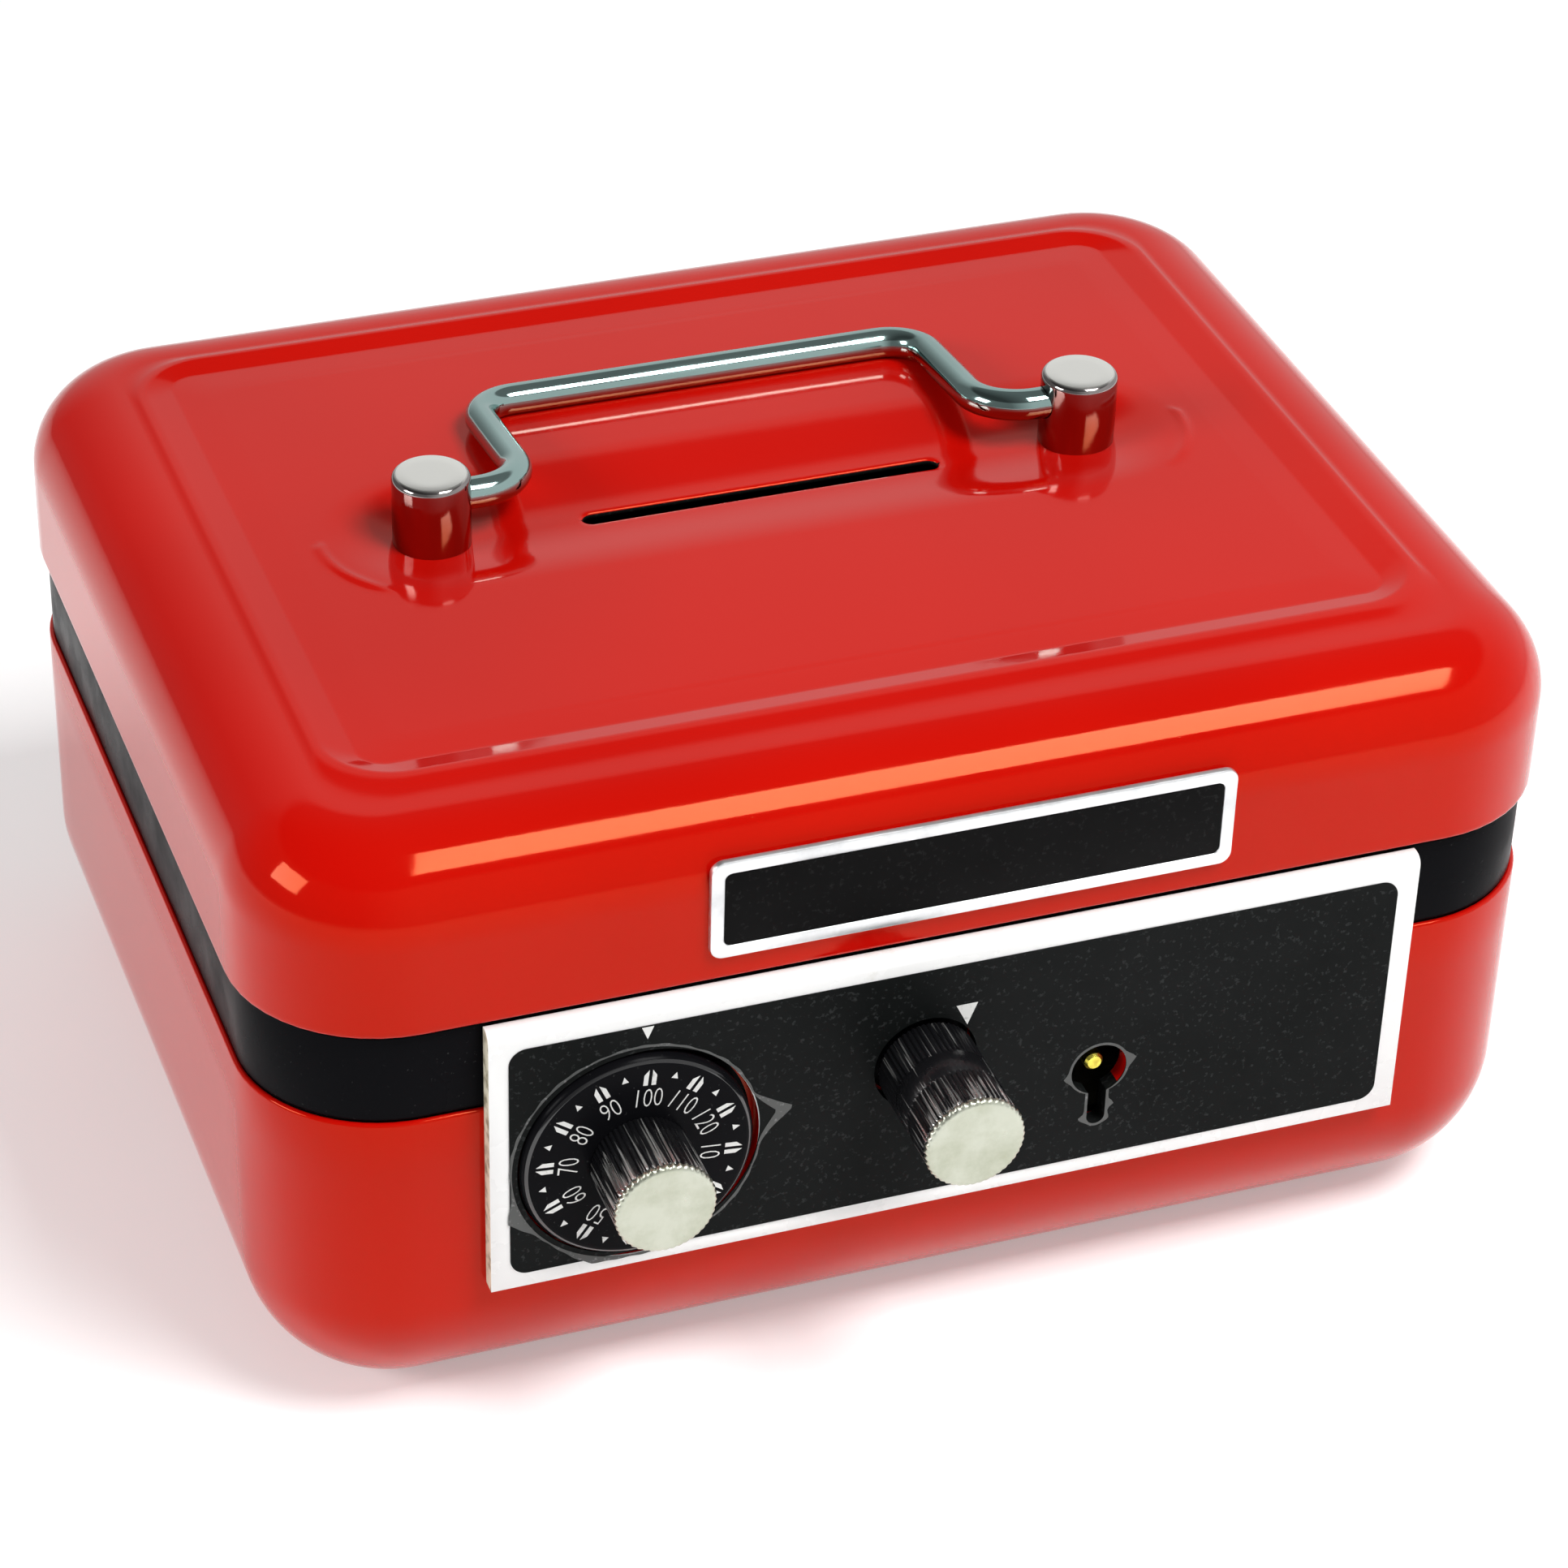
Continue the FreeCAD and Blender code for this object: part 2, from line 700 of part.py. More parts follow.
def hinge_leaf_base(x):
    """Leaf on the rim frame with a knuckle at each end."""
    leaf_front = half_depth - band_inset
    leaf_back = leaf_front + base_leaf_thickness
    half = hinge_width / 2
    leaf = box(x - half, x + half, leaf_front, leaf_back, base_leaf_bottom, base_leaf_top)
    clear = lid_knuckle_half + knuckle_gap
    gap_bottom = hinge_axis_z - knuckle_radius - knuckle_room
    middle_gap = box(x - clear, x + clear, leaf_front - 1, leaf_back + 1, gap_bottom, hinge_axis_z + 1)
    knuckles = []
    for start, end in ((x - half, x - clear), (x + clear, x + half)):
        knuckles.append(along_x(knuckle_radius, start, end, hinge_axis_y, hinge_axis_z))
        knuckles.append(box(start, end, leaf_front, hinge_axis_y,
                            hinge_axis_z - knuckle_radius, base_leaf_top))
    return leaf.cut(middle_gap).fuse(knuckles).cut(knuckle_bore(x)).removeSplitter()


def hinge_leaf_lid(x):
    """Leaf on the lid's rear wall with one knuckle in the middle."""
    leaf_back = half_depth + leaf_thickness
    half = hinge_width / 2
    leaf = box(x - half, x + half, half_depth, leaf_back, lid_leaf_bottom, lid_leaf_top)
    start = x - lid_knuckle_half
    end = x + lid_knuckle_half
    strap_bottom = hinge_axis_z + band_gap + strap_rise
    strap = box(start, end, half_depth, leaf_back, strap_bottom, lid_leaf_bottom)
    knuckle = along_x(knuckle_radius, start, end, hinge_axis_y, hinge_axis_z)
    return leaf.fuse([strap, knuckle]).cut(knuckle_bore(x)).removeSplitter()


def hinge_pin(x):
    half = hinge_width / 2
    return along_x(hinge_pin_radius, x - half, x + half, hinge_axis_y, hinge_axis_z)


nodes = {
    "base_shell": base_shell(),
    "rim_frame": rim_frame(),
    "front_plate": front_plate(),
    "front_label": front_label(),
    "lock_plate": lock_plate(),
    "lock_cover": lock_cover(),
    "key_pin": key_pin(),
    "bolt_stumps": bolt_stumps(),
    "lid_shell": lid_shell(),
    "name_plate": name_plate(),
    "handle_post_left": handle_post(-1),
    "handle_post_right": handle_post(1),
    "post_screws": post_screws(),
    "catch_plate": catch_plate(),
    "handle_bail": handle_bail(),
    "dial_disc": dial_disc(),
    "dial_knob": dial_knob(),
    "dial_cap": knob_cap(dial_x, dial_z, dial_face - dial_knob_length),
    "dial_spindle": dial_spindle(),
    "combination_wheel": combination_wheel(),
    "push_knob": push_knob(),
    "push_cap": knob_cap(push_x, push_z, push_front()),
    "push_rod": push_rod(),
    "latch_hook": latch_hook(),
    "push_spring": push_spring(),
    "lock_bolt": lock_bolt(),
}
for side, x in hinge_xs.items():
    nodes["hinge_leaf_base_" + side] = hinge_leaf_base(x)
    nodes["hinge_leaf_lid_" + side] = hinge_leaf_lid(x)
    nodes["hinge_pin_" + side] = hinge_pin(x)

os.makedirs("parts", exist_ok=True)
for name, shape in nodes.items():
    solids = len(shape.Solids)
    print(f"{name}: {solids} solid(s), {shape.Volume:.1f} mm3, valid {shape.isValid()}")
    shape.exportStep("parts/" + name + ".step")
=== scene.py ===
"""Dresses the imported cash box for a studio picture.

Lengths are millimetres until a piece is made. X runs to the right, Y to the back, Z up.
"""
import math

import bmesh
import bpy
from mathutils import Matrix, Vector


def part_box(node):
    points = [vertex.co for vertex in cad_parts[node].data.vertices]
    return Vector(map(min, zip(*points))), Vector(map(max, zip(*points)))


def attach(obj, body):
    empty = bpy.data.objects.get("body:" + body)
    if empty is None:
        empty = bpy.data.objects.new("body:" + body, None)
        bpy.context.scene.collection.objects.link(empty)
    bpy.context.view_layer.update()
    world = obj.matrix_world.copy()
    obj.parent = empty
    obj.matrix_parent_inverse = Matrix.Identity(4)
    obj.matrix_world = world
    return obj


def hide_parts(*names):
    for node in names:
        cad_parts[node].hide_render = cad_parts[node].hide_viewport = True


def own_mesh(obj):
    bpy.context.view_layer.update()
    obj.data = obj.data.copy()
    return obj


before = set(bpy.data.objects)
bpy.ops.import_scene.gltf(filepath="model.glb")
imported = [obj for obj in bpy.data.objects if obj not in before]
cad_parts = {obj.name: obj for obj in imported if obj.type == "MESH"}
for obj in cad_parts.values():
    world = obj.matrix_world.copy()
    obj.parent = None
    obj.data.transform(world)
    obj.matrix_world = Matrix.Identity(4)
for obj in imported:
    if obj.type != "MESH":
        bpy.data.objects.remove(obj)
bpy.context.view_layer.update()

MM = 0.001

# Box form, as in the part's source
half_width = 76.0
half_depth = 60.7
corner_radius = 17.0
sheet = 0.8
base_inset = 0.4
base_top = 43.0
base_rim_z = 42.6
base_levels = (base_rim_z, 36.0, 30.0, 24.0, 20.0)
lid_bottom = 54.6
lid_levels = (lid_bottom + sheet / 2, 55.4, 58.0, 61.0, 64.0, 65.4)
shoulder_radius = 10.5
band_inset = 0.9
band_top = 54.35
lip_inset = 1.6
lip_top = 58.5
rim_inner_inset = 2.6
skirt_bottom = 37.0
skirt_inset = 1.25
lock_gap = (-59.5, 49.5)

# Lid relief: outlines as x0, x1, y0, y1 and corner radius
bend_outline = (-63.6, 63.6, -44.4, 48.1, 9.0)
crease_outline = (-59.4, 59.4, -41.0, 45.3, 3.0)
panel_outline = (-55.6, 55.6, -36.9, 41.2, 2.4)
ridge_z = 76.45
crease_z = 75.60
panel_z = 75.85
panel_edge_z = panel_z - 0.1
panel_crown = 0.25
crown_half_length = 57.0
crown_half_depth = 40.8
crown_y = 2.1
ridge_rise = 0.45
ridge_share = 0.50
dish_edge = 13.0
dish_run = 12.0
dish_depth = 1.35
dish_bead = 0.22
dish_bead_width = 0.55
bead_start = 7.0
bead_run = 3.0
bead_back = 1.0
slot_half_length = 22.0
slot_half_width = 1.4
slot_y = 1.6

# Handle
post_x = 39.3
post_y = 2.3
post_radius = 4.5
post_bottom = 74.5
post_top = 83.5
post_round = 0.8
wire_radius = 1.85
wire_z = 80.1
wire_end_x = 38.8
wire_hole_end = 39.2
wire_play = 0.1
bail_arm_x = 27.8
bail_reach = 23.6
bail_inner_bend = 6.0
bail_outer_bend = 5.0
bail_drop = 2.65

# Front
lid_front = -60.7
base_front = -60.3
plate_box = (-52.5, 55.4, 19.2, 54.05)
plate_front = -62.2
plate_roll = 1.3
plate_edge_round = 0.12
label_box = (-50.3, 52.9, 21.1, 51.5)
label_front = -62.35
label_corner = 2.0
film_hole = 13.45
film_tear = 0.9
tear_angle = 68.0
fringe_thickness = 0.02
name_box = (-27.8, 32.3, 57.7, 70.05)
name_front = -61.4
name_border = 1.5
name_field_depth = 0.15

# Dial, push knob and keyhole
dial_x = -36.05
dial_z = 34.7
dial_radius = 13.2
dial_face = -63.35
dial_back = -61.55
dial_bevel = 0.9
dial_hole = 14.0
dial_wall_hole = 13.6
dial_knob_front = -71.75
dial_turn = 6.0
numeral_foot = 6.9
numeral_size = 3.5
numeral_narrowing = 0.68
bar_foot = 9.75
bar_shoulder = 11.05
bar_tip = 11.75
bar_near = 0.20
bar_far = 0.72
tick_foot = 10.7
tick_tip = 11.5
tick_half_width = 0.38
print_proud = 0.03
print_sunk = 0.02
dial_triangle = ((-35.6, 51.4), (-34.24, 51.4), (-34.95, 49.8))
push_triangle = ((0.36, 46.1), (2.86, 46.1), (1.75, 43.3))
push_x = -2.9
push_z = 39.1
push_hole = 6.0
push_rear = -62.5
push_front = -76.5
push_band = (-71.3, -67.7)
spring_turns = 3
spring_radius = 3.0
spring_wire = 0.3
knob_radius = 5.65
knob_ridges = 56
ridge_shape = (0.0, 0.35, 1.0, 0.35)
cap_radius = 5.75
cap_ridges = 44
cap_thickness = 0.9
key_x = 18.0
key_z = 33.3
keyhole_radius = 3.3
keyhole_slot = 2.2
keyhole_bottom = 25.7
key_window = (14.1, 21.9, 25.1, 37.2)
key_red_from = 20.4
key_pin_front = -61.15
key_pin_back = -45.6
key_pin_radius = 1.1

# Thorns of torn film: height, angle round the dial and width; then x, z, height and width at the keyhole
dial_thorn = (3.7, 83, 15)
dial_barbs = ((1.5, 246, 16), (0.7, 200, 22))
keyhole_thorns = ((14.75, 32.6, 0.75, 1.1), (21.2, 33.9, 1.0, 1.3), (19.1, 28.2, 0.9, 0.9),
                  (16.9, 26.7, 0.8, 0.8), (19.1, 26.3, 0.4, 0.8))
keyhole_fringe = 0.32

# Mesh fineness: points along a side and round a corner, and rows of the lid's relief
lid_sides = 110
lid_corners = 12
wall_sides = 20
wall_corners = 16
shoulder_steps = 24
flange_steps = 20
slope_steps = 24
edge_steps = 16
panel_steps = 84

# Floor and studio: brightness of the wall and of the ceiling, and the share left on the dark side
floor_half = 6000.0
floor_drop = 0.1
floor_glow = 0.30
wall_bright = 0.70
wall_end = 0.62
ceiling_bright = 0.20
ceiling_start = 0.68
dark_side_share = 0.30
dark_side_x = (-0.45, 0.15)

# Camera, found from the photograph
sensor_width = 36.0
photo_size = 1932.0
focal_pixels = 5839.38
camera_place = (-163.76, -440.455, 353.538)
camera_yaw = 20.609
camera_pitch = 35.666
camera_roll = 1.711
picture_shift = (17.30, 155.90)


# Mesh helpers

def link(name, mesh):
    made = bpy.data.objects.new(name, mesh)
    bpy.context.scene.collection.objects.link(made)
    return made


def raw_mesh(name, points, faces):
    """Mesh object from points in millimetres, with its faces turned outwards."""
    mesh = bpy.data.meshes.new(name)
    mesh.from_pydata([Vector(point) * MM for point in points], [], faces)
    work = bmesh.new()
    work.from_mesh(mesh)
    bmesh.ops.remove_doubles(work, verts=work.verts, dist=1e-7)
    bmesh.ops.recalc_face_normals(work, faces=work.faces)
    work.to_mesh(mesh)
    work.free()
    return link(name, mesh)


def settle(made):
    """Applies the object's modifiers to its mesh."""
    bpy.context.view_layer.update()
    done = made.evaluated_get(bpy.context.evaluated_depsgraph_get())
    mesh = bpy.data.meshes.new_from_object(done)
    made.modifiers.clear()
    made.data = mesh
    return made


def cut(made, cutters):
    """Takes the cutters' shapes out of an object and removes the cutters."""
    for cutter in cutters:
        change = made.modifiers.new("cut", "BOOLEAN")
        change.operation = "DIFFERENCE"
        change.solver = "EXACT"
        change.object = cutter
    settle(made)
    for cutter in cutters:
        bpy.data.objects.remove(cutter)
    return made


def soften(made, width):
    """Rounds the object's sharp edges by a small width in millimetres."""
    change = made.modifiers.new("soft_edges", "BEVEL")
    change.width = width * MM
    change.segments = 2
    change.limit_method = "ANGLE"
    change.angle_limit = math.radians(40)
    return settle(made)


def finish_piece(made, material, body, stands_for=(), sharp=35.0):
    """Shades a piece smoothly up to an angle, gives it its material and sets it on its body."""
    mesh = made.data
    mesh.shade_smooth()
    mesh.set_sharp_from_angle(angle=math.radians(sharp))
    mesh.materials.clear()
    mesh.materials.append(material)
    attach(made, body)
    if stands_for:
        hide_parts(*stands_for)
    return made


def bridge(rings, around=False):
    """Points and faces of a skin over closed rings; around also joins the last ring to the first."""
    count = len(rings[0])
    points = [point for ring in rings for point in ring]
    faces = []
    last = len(rings) if around else len(rings) - 1
    for row in range(last):
        here = row * count
        there = (row + 1) % len(rings) * count
        for step in range(count):
            after = (step + 1) % count
            faces.append((here + step, here + after, there + after, there + step))
    return points, faces


def capped(rings):
    """Skin over closed rings with both ends filled."""
    points, faces = bridge(rings)
    count = len(rings[0])
    faces.append(tuple(range(count)))
    faces.append(tuple(range(len(points) - count, len(points))))
    return points, faces


def rounded_ring(outline, z, side_steps, corner_steps):
    """Points round a rectangle with round corners, always the same number for the same steps."""
    x0, x1, y0, y1, radius = outline
    centres = ((x1 - radius, y1 - radius), (x0 + radius, y1 - radius),
               (x0 + radius, y0 + radius), (x1 - radius, y0 + radius))
    ring = []
    for corner, (x, y) in enumerate(centres):
        for step in range(corner_steps + 1):
            angle = math.radians(90 * (corner + step / corner_steps))
            ring.append(Vector((x + radius * math.cos(angle), y + radius * math.sin(angle), z)))
        start = ring[-1]
        angle = math.radians(90 * (corner + 1))
        next_x, next_y = centres[(corner + 1) % 4]
        end = Vector((next_x + radius * math.cos(angle), next_y + radius * math.sin(angle), z))
        ring += [start.lerp(end, step / side_steps) for step in range(1, side_steps)]
    return ring


def box_ring(inset, z, side_steps=wall_sides, corner_steps=wall_corners):
    """Ring round the box, a distance inside its largest outline."""
    outline = (-half_width + inset, half_width - inset, -half_depth + inset, half_depth - inset,
               max(corner_radius - inset, 0.02))
    return rounded_ring(outline, z, side_steps, corner_steps)


def arc(centre, radius, start, end, steps):
    """Points (a, b) on an arc, angles in degrees, both ends included."""
    found = []
    for step in range(steps + 1):
        angle = math.radians(start + (end - start) * step / steps)
        found.append((centre[0] + radius * math.cos(angle), centre[1] + radius * math.sin(angle)))
    return found


def turned_along_y(profile, x, z, steps):
    """Rings of a turned form about an axis along Y, from (radius, y) pairs."""
    rings = []
    for radius, y in profile:
        ring = []
        for step in range(steps):
            angle = 2 * math.pi * step / steps
            ring.append((x + radius * math.cos(angle), y, z + radius * math.sin(angle)))
        rings.append(ring)
    return rings


def turned_along_z(profile, x, y, steps):
    """Rings of a turned form about an upright axis, from (radius, z) pairs."""
    rings = []
    for radius, z in profile:
        ring = []
        for step in range(steps):
            angle = 2 * math.pi * step / steps
            ring.append((x + radius * math.cos(angle), y + radius * math.sin(angle), z))
        rings.append(ring)
    return rings


def extruded(outline, y0, y1):
    """Points and faces of a flat form facing the front, from (x, z) pairs."""
    rings = [[(x, y, z) for x, z in outline] for y in (y0, y1)]
    return capped(rings)


def rounded_outline(limits, radius, steps):
    """(x, z) pairs round an upright rectangle with round corners."""
    x0, x1, z0, z1 = limits
    ring = rounded_ring((x0, x1, z0, z1, radius), 0, 1, steps)
    return [(point.x, point.y) for point in ring]


def block_cutter(limits, y0, y1):
    """Rectangular cutter from x0, x1, z0, z1 and two depths."""
    x0, x1, z0, z1 = limits
    return raw_mesh("cutter", *extruded(((x0, z0), (x1, z0), (x1, z1), (x0, z1)), y0, y1))


def round_cutter(radius, y0, y1, x, z, steps=96):
    return raw_mesh("cutter", *capped(turned_along_y(((radius, y0), (radius, y1)), x, z, steps)))


def keyhole_outline(side_steps):
    """(x, z) pairs round the keyhole, with points along the sides of its slot."""
    half = keyhole_slot / 2
    drop = math.degrees(math.asin(half / keyhole_radius))
    neck = key_z - keyhole_radius * math.cos(math.radians(drop))
    foot = keyhole_bottom + half
    levels = [foot + (neck - foot) * step / side_steps for step in range(1, side_steps)]
    outline = arc((key_x, key_z), keyhole_radius, -90 + drop, 270 - drop, 48)
    outline += [(key_x - half, z) for z in reversed(levels)]
    outline += arc((key_x, foot), half, 180, 360, 16)
    outline += [(key_x + half, z) for z in levels]
    return outline


def keyhole_cutter(y0, y1):
    return raw_mesh("cutter", *extruded(keyhole_outline(1), y0, y1))


# Materials

class Finish:
    """A Principled material with short ways to wire its details, in the piece's own coordinates."""

    def __init__(self, name, colour, roughness, metallic=0.0):
        self.material = bpy.data.materials.new(name)
        self.material.use_nodes = True
        self.nodes = self.material.node_tree.nodes
        self.links = self.material.node_tree.links
        self.shader = self.nodes["Principled BSDF"]
        self.shader.inputs["Base Color"].default_value = (*colour, 1)
        self.shader.inputs["Roughness"].default_value = roughness
        self.shader.inputs["Metallic"].default_value = metallic
        self.place = self.nodes.new("ShaderNodeTexCoord").outputs["Object"]

    def stretched(self, stretch):
        mapping = self.nodes.new("ShaderNodeMapping")
        mapping.inputs["Scale"].default_value = stretch
        self.links.new(self.place, mapping.inputs["Vector"])
        return mapping.outputs["Vector"]

    def noise(self, scale, detail=3.0, stretch=(1, 1, 1), rough=0.5):
        made = self.nodes.new("ShaderNodeTexNoise")
        made.inputs["Scale"].default_value = scale
        made.inputs["Detail"].default_value = detail
        made.inputs["Roughness"].default_value = rough
        self.links.new(self.stretched(stretch), made.inputs["Vector"])
        return made.outputs["Fac"]

    def specks(self, scale):
        made = self.nodes.new("ShaderNodeTexVoronoi")
        made.inputs["Scale"].default_value = scale
        self.links.new(self.place, made.inputs["Vector"])
        return made.outputs["Distance"]

    def between(self, source, low, high, start, end):
        """Source from low to high turned into start to end, and held there beyond."""
        made = self.nodes.new("ShaderNodeMapRange")
        made.inputs["From Min"].default_value = low
        made.inputs["From Max"].default_value = high
        made.inputs["To Min"].default_value = start
        made.inputs["To Max"].default_value = end
        self.links.new(source, made.inputs["Value"])
        return made.outputs["Result"]

    def mixed(self, factor, first, second):
        """Colour between two colours; each is a colour or another output."""
        made = self.nodes.new("ShaderNodeMix")
        made.data_type = "RGBA"
        self.links.new(factor, made.inputs["Factor"])
        for name, value in (("A", first), ("B", second)):
            socket = [item for item in made.inputs if item.name == name and item.type == "RGBA"][0]
            if isinstance(value, tuple):
                socket.default_value = (*value, 1)
            else:
                self.links.new(value, socket)
        return [item for item in made.outputs if item.type == "RGBA"][0]

    def times(self, first, second):
        made = self.nodes.new("ShaderNodeMath")
        made.operation = "MULTIPLY"
        self.links.new(first, made.inputs[0])
        self.links.new(second, made.inputs[1])
        return made.outputs["Value"]

    def colour(self, source):
        self.links.new(source, self.shader.inputs["Base Color"])

    def roughness(self, source):
        self.links.new(source, self.shader.inputs["Roughness"])

    def bump(self, source, depth):
        """Surface relief, its depth in millimetres. Several calls add up."""
        made = self.nodes.new("ShaderNodeBump")
        made.inputs["Strength"].default_value = 1.0
        made.inputs["Distance"].default_value = depth * MM
        self.links.new(source, made.inputs["Height"])
        before = self.shader.inputs["Normal"].links
        if before:
            self.links.new(before[0].from_socket, made.inputs["Normal"])
        self.links.new(made.outputs["Normal"], self.shader.inputs["Normal"])


def enamel(name, colour, deep, roughness):
    """Stoved gloss paint: faint orange peel, slight tone drift, dust specks."""
    made = Finish(name, colour, roughness)
    made.shader.inputs["Specular Tint"].default_value = (1.0, 0.30, 0.12, 1)
    drift = made.between(made.noise(18, 2), 0.35, 0.65, 0, 1)
    made.colour(made.mixed(drift, colour, deep))
    made.roughness(made.between(made.noise(60, 4), 0.3, 0.7, roughness * 0.75, roughness * 1.35))
    made.bump(made.noise(420, 2), 0.006)
    made.bump(made.between(made.specks(900), 0.0, 0.09, 1, 0), 0.004)
    return made.material


def chrome(name):
    """Bright plating with fine haze and a few dull marks."""
    made = Finish(name, (0.41, 0.57, 0.55), 0.08, 1.0)
    haze = made.noise(140, 5)
    made.roughness(made.between(haze, 0.35, 0.75, 0.07, 0.19))
    tone = made.between(made.noise(35, 3), 0.35, 0.7, 0, 1)
    made.colour(made.mixed(tone, (0.41, 0.57, 0.55), (0.31, 0.45, 0.43)))
    made.bump(made.noise(600, 2), 0.002)
    return made.material


def post_plating(name):
    """Plating with painted light: a post's side is darkened and streaked as a painted reflection, and its
    satin top face is a near-white painted highlight.
    """
    made = Finish(name, (0.30, 0.27, 0.27), 0.12, 1.0)
    parts = made.nodes.new("ShaderNodeSeparateXYZ")
    place = made.nodes.new("ShaderNodeTexCoord")
    made.links.new(place.outputs["Normal"], parts.inputs["Vector"])
    # Upward faces get the near-white painted highlight; the other faces get the painted reflection below.
    top = made.between(parts.outputs["Z"], 0.80, 0.98, 0, 1)
    # Dark side colour with vertical streaks: a painted reflection of the surroundings.
    side = made.mixed(made.noise(300, 4, (1, 1, 0.15)), (0.22, 0.19, 0.19), (0.48, 0.45, 0.44))
    made.colour(made.mixed(top, side, (1.0, 1.0, 0.95)))
    made.roughness(made.between(top, 0, 1, 0.10, 0.30))
    made.bump(made.noise(1800, 3), 0.003)
    return made.material


def satin_metal(name, colour, stain, stretch):
    """Aluminium or plated steel, brushed along the axis that is stretched least, with stains."""
    made = Finish(name, colour, 0.35, 1.0)
    brush = made.noise(900, 3, stretch)
    blotch = made.between(made.noise(160, 6, rough=0.65), 0.42, 0.68, 0, 1)
    made.colour(made.mixed(blotch, colour, stain))
    made.roughness(made.between(brush, 0.25, 0.75, 0.26, 0.48))
    made.bump(brush, 0.006)
    return made.material


def film(name, dark, light, speck, gloss):
    """Matt black printed film with pale specks."""
    made = Finish(name, dark, 0.45)
    made.shader.inputs["Specular IOR Level"].default_value = gloss
    fine = made.between(made.noise(1900, 2), 0.60, 0.72, 0, 1)
    cloud = made.between(made.noise(40, 3), 0.3, 0.7, 0, 1)
    made.colour(made.mixed(fine, made.mixed(cloud, dark, light), speck))
    made.roughness(made.between(made.noise(300, 3), 0.3, 0.7, 0.38, 0.55))
    made.bump(made.noise(1500, 2), 0.006)
    return made.material


def printed_white(name):
    made = Finish(name, (0.80, 0.80, 0.78), 0.45)
    wear = made.between(made.noise(1400, 3), 0.58, 0.75, 0, 1)
    made.colour(made.mixed(wear, (0.82, 0.82, 0.80), (0.55, 0.55, 0.53)))
    made.bump(made.noise(1200, 2), 0.004)
    return made.material


def white_enamel(name):
    """White front plate: scuffs and a little grime."""
    made = Finish(name, (0.96, 0.96, 0.95), 0.25)
    grime = made.between(made.noise(70, 6, rough=0.7), 0.66, 0.80, 0, 1)
    made.colour(made.mixed(grime, (0.97, 0.97, 0.96), (0.78, 0.76, 0.68)))
    made.roughness(made.between(made.noise(220, 4), 0.3, 0.7, 0.18, 0.36))
    made.bump(made.noise(500, 2), 0.004)
    return made.material


def gloss_black(name, roughness, gloss):
    """Moulded black plastic or black enamel."""
    made = Finish(name, (0.005, 0.005, 0.006), roughness)
    made.shader.inputs["Specular IOR Level"].default_value = gloss
    made.roughness(made.between(made.noise(130, 4), 0.3, 0.7, roughness * 0.7, roughness * 1.5))
    lint = made.between(made.noise(2200, 2), 0.70, 0.80, 0, 1)
    made.colour(made.mixed(lint, (0.0045, 0.0045, 0.0055), (0.035, 0.035, 0.035)))
    made.bump(made.noise(380, 2), 0.005)
    return made.material


def knurl_black(name, front, rear):
    """Black knob with a painted highlight: bright metallic streaks along its ridges, strongest at the front
    and weakening towards the rear as painted shade.
    """
    made = Finish(name, (0.01, 0.01, 0.01), 0.3)
    made.shader.inputs["Specular IOR Level"].default_value = 0.3
    streak = made.noise(2300, 2, (1, 0.03, 1))
    patch = made.noise(220, 4)
    parts = made.nodes.new("ShaderNodeSeparateXYZ")
    made.links.new(made.place, parts.inputs["Vector"])
    # Painted shade: the ridge highlight is scaled down from the front depth to the rear depth.
    forward = made.between(parts.outputs["Y"], front, rear, 1.12, 0.84)
    # Painted highlight: bright metallic streaks on the ridges.
    painted_ridge_highlight = made.between(made.times(streak, forward), 0.52, 0.62, 0, 1)
    made.colour(made.mixed(painted_ridge_highlight, (0.006, 0.006, 0.007), (0.62, 0.62, 0.60)))
    made.links.new(painted_ridge_highlight, made.shader.inputs["Metallic"])
    made.roughness(made.between(patch, 0.3, 0.7, 0.22, 0.4))
    made.bump(streak, 0.02)
    return made.material


def brass(name):
    made = Finish(name, (0.80, 0.67, 0.10), 0.3, 1.0)
    tarnish = made.between(made.noise(900, 4), 0.4, 0.7, 0, 1)
    made.colour(made.mixed(tarnish, (0.86, 0.75, 0.12), (0.55, 0.42, 0.06)))
    made.roughness(made.between(tarnish, 0, 1, 0.25, 0.5))
    made.bump(made.noise(2500, 2), 0.006)
    return made.material


def cut_edge(name):
    """Sheared edge of the front plate: yellowed, chipped and dull."""
    made = Finish(name, (0.70, 0.66, 0.50), 0.55)
    chip = made.between(made.noise(700, 4), 0.45, 0.65, 0, 1)
    made.colour(made.mixed(chip, (0.78, 0.74, 0.58), (0.30, 0.26, 0.17)))
    made.bump(chip, 0.03)
    return made.material


red = enamel("red_enamel_paint", (0.55, 0.0036, 0.0014), (0.50, 0.0030, 0.0012), 0.075)
black_paint = gloss_black("black_enamel_paint", 0.26, 0.018)
black_plastic = gloss_black("dial_black", 0.20, 0.03)
rim_black = gloss_black("dial_rim_black", 0.10, 0.9)
dial_knob_highlight = knurl_black("dial_knob_painted_highlight", -0.0718, -0.0640)
push_knob_highlight = knurl_black("push_knob_painted_highlight", -0.0766, -0.0700)
plate_white = white_enamel("plate_white")
black_film_and_painted_shade = film("label_film", (0.0050, 0.0060, 0.0058), (0.0080, 0.0090, 0.0090),
                  (0.026, 0.028, 0.028), 0.05)
fringe_film = film("fringe_film", (0.075, 0.078, 0.076), (0.105, 0.108, 0.105),
                   (0.20, 0.20, 0.20), 0.3)
name_film = film("name_film", (0.0040, 0.0040, 0.0040), (0.0055, 0.0055, 0.0055),
                 (0.013, 0.013, 0.013), 0.04)
print_white = printed_white("print_white")
bright_chrome = chrome("handle_chrome")
post_metal = post_plating("post_plating")
